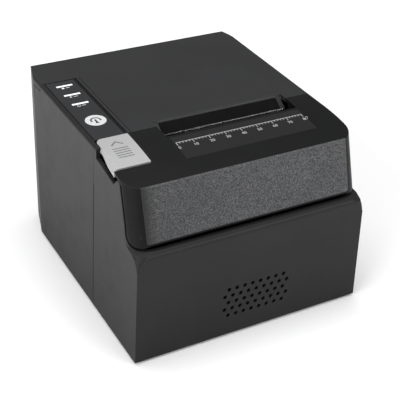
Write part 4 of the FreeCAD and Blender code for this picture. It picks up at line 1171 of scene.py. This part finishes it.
@dataclass
class Studio:
    """Camera, pale floor and soft light."""

    azimuth: float = -29.77
    elevation: float = 32.69
    roll: float = 2.70
    distance: float = 0.6373
    lens: float = 93.13
    target: tuple[float, float, float] = (0.0097, 0.0, 0.0378)
    floor_size: float = 4.0
    room_light: float = 0.28

    def build(self) -> None:
        """Build the studio."""
        self.build_camera()
        self.build_floor()
        self.build_world()
        for light in LIGHTS:
            light.build(Vector(self.target))

    def build_camera(self) -> None:
        """Place the camera and make it the scene's."""
        turn, rise = math.radians(self.azimuth), math.radians(self.elevation)
        back = Vector((math.sin(turn) * math.cos(rise), -math.cos(turn) * math.cos(rise),
                       math.sin(rise)))
        right = Vector((math.cos(turn), math.sin(turn), 0.0))
        up = back.cross(right)
        tilt = math.radians(self.roll)
        level = right * math.cos(tilt) + up * math.sin(tilt)
        upright = back.cross(level)
        data = bpy.data.cameras.new("studio_camera")
        data.lens = self.lens
        data.clip_start = 0.01
        camera = bpy.data.objects.new("studio_camera", data)
        bpy.context.scene.collection.objects.link(camera)
        pose = Matrix((level, upright, back)).transposed().to_4x4()
        camera.matrix_world = Matrix.Translation(Vector(self.target) + back * self.distance) @ pose
        bpy.context.scene.camera = camera

    def build_floor(self) -> None:
        """Lay a wide pale floor."""
        sheet = bmesh.new()
        bmesh.ops.create_grid(sheet, x_segments=8, y_segments=8, size=self.floor_size)
        floor = new_piece("studio_floor", sheet)
        shader = Shader("floor_paint")
        mottle = shader.noise(60.0 * MM, 2.0)
        colour = shader.blend(mottle, (0.93, 0.93, 0.93), (0.96, 0.96, 0.96))
        floor.data.materials.append(shader.finish(Base_Color=colour, Roughness=0.85))

    def build_world(self) -> None:
        """Fill the room with soft white light."""
        scene = bpy.context.scene
        world = bpy.data.worlds.new("studio_room")
        world.use_nodes = True
        background = world.node_tree.nodes["Background"]
        background.inputs["Color"].default_value = (1.0, 1.0, 1.0, 1.0)
        background.inputs["Strength"].default_value = self.room_light
        scene.world = world
        scene.view_settings.view_transform = "Standard"


@dataclass(frozen=True)
class SoftLight:
    """A square soft light that points at the printer."""

    name: str
    place: tuple[float, float, float]
    size: float
    watts: float

    def build(self, target: Vector) -> None:
        """Hang the light.

        Args:
            target: What it points at.
        """
        data = bpy.data.lights.new(self.name, "AREA")
        data.size = self.size
        data.energy = self.watts
        light = bpy.data.objects.new(self.name, data)
        light.location = self.place
        light.rotation_euler = (Vector(self.place) - target).to_track_quat("Z", "Y").to_euler()
        bpy.context.scene.collection.objects.link(light)


LIGHTS = (
    SoftLight("left_light", (-1.3, -0.5, 0.75), 1.0, 15.0),
    SoftLight("top_light", (-0.1, 0.2, 1.7), 1.4, 23.0),
    SoftLight("front_light", (0.7, -1.3, 0.9), 0.9, 9.0),
)


def main() -> None:
    """Dress the frame, build the marks and set up the studio."""
    logging.basicConfig(level=logging.INFO, format="%(name)s: %(message)s")
    paint = Paintbox()
    paint.dress_frame()
    for assembly in (LeverMarks(), PanelMarks(), SlotLining(), FilmScale(), CaseSeal(), RearMarks()):
        assembly.build(paint)
    Studio().build()


if __name__ == "__main__":
    main()
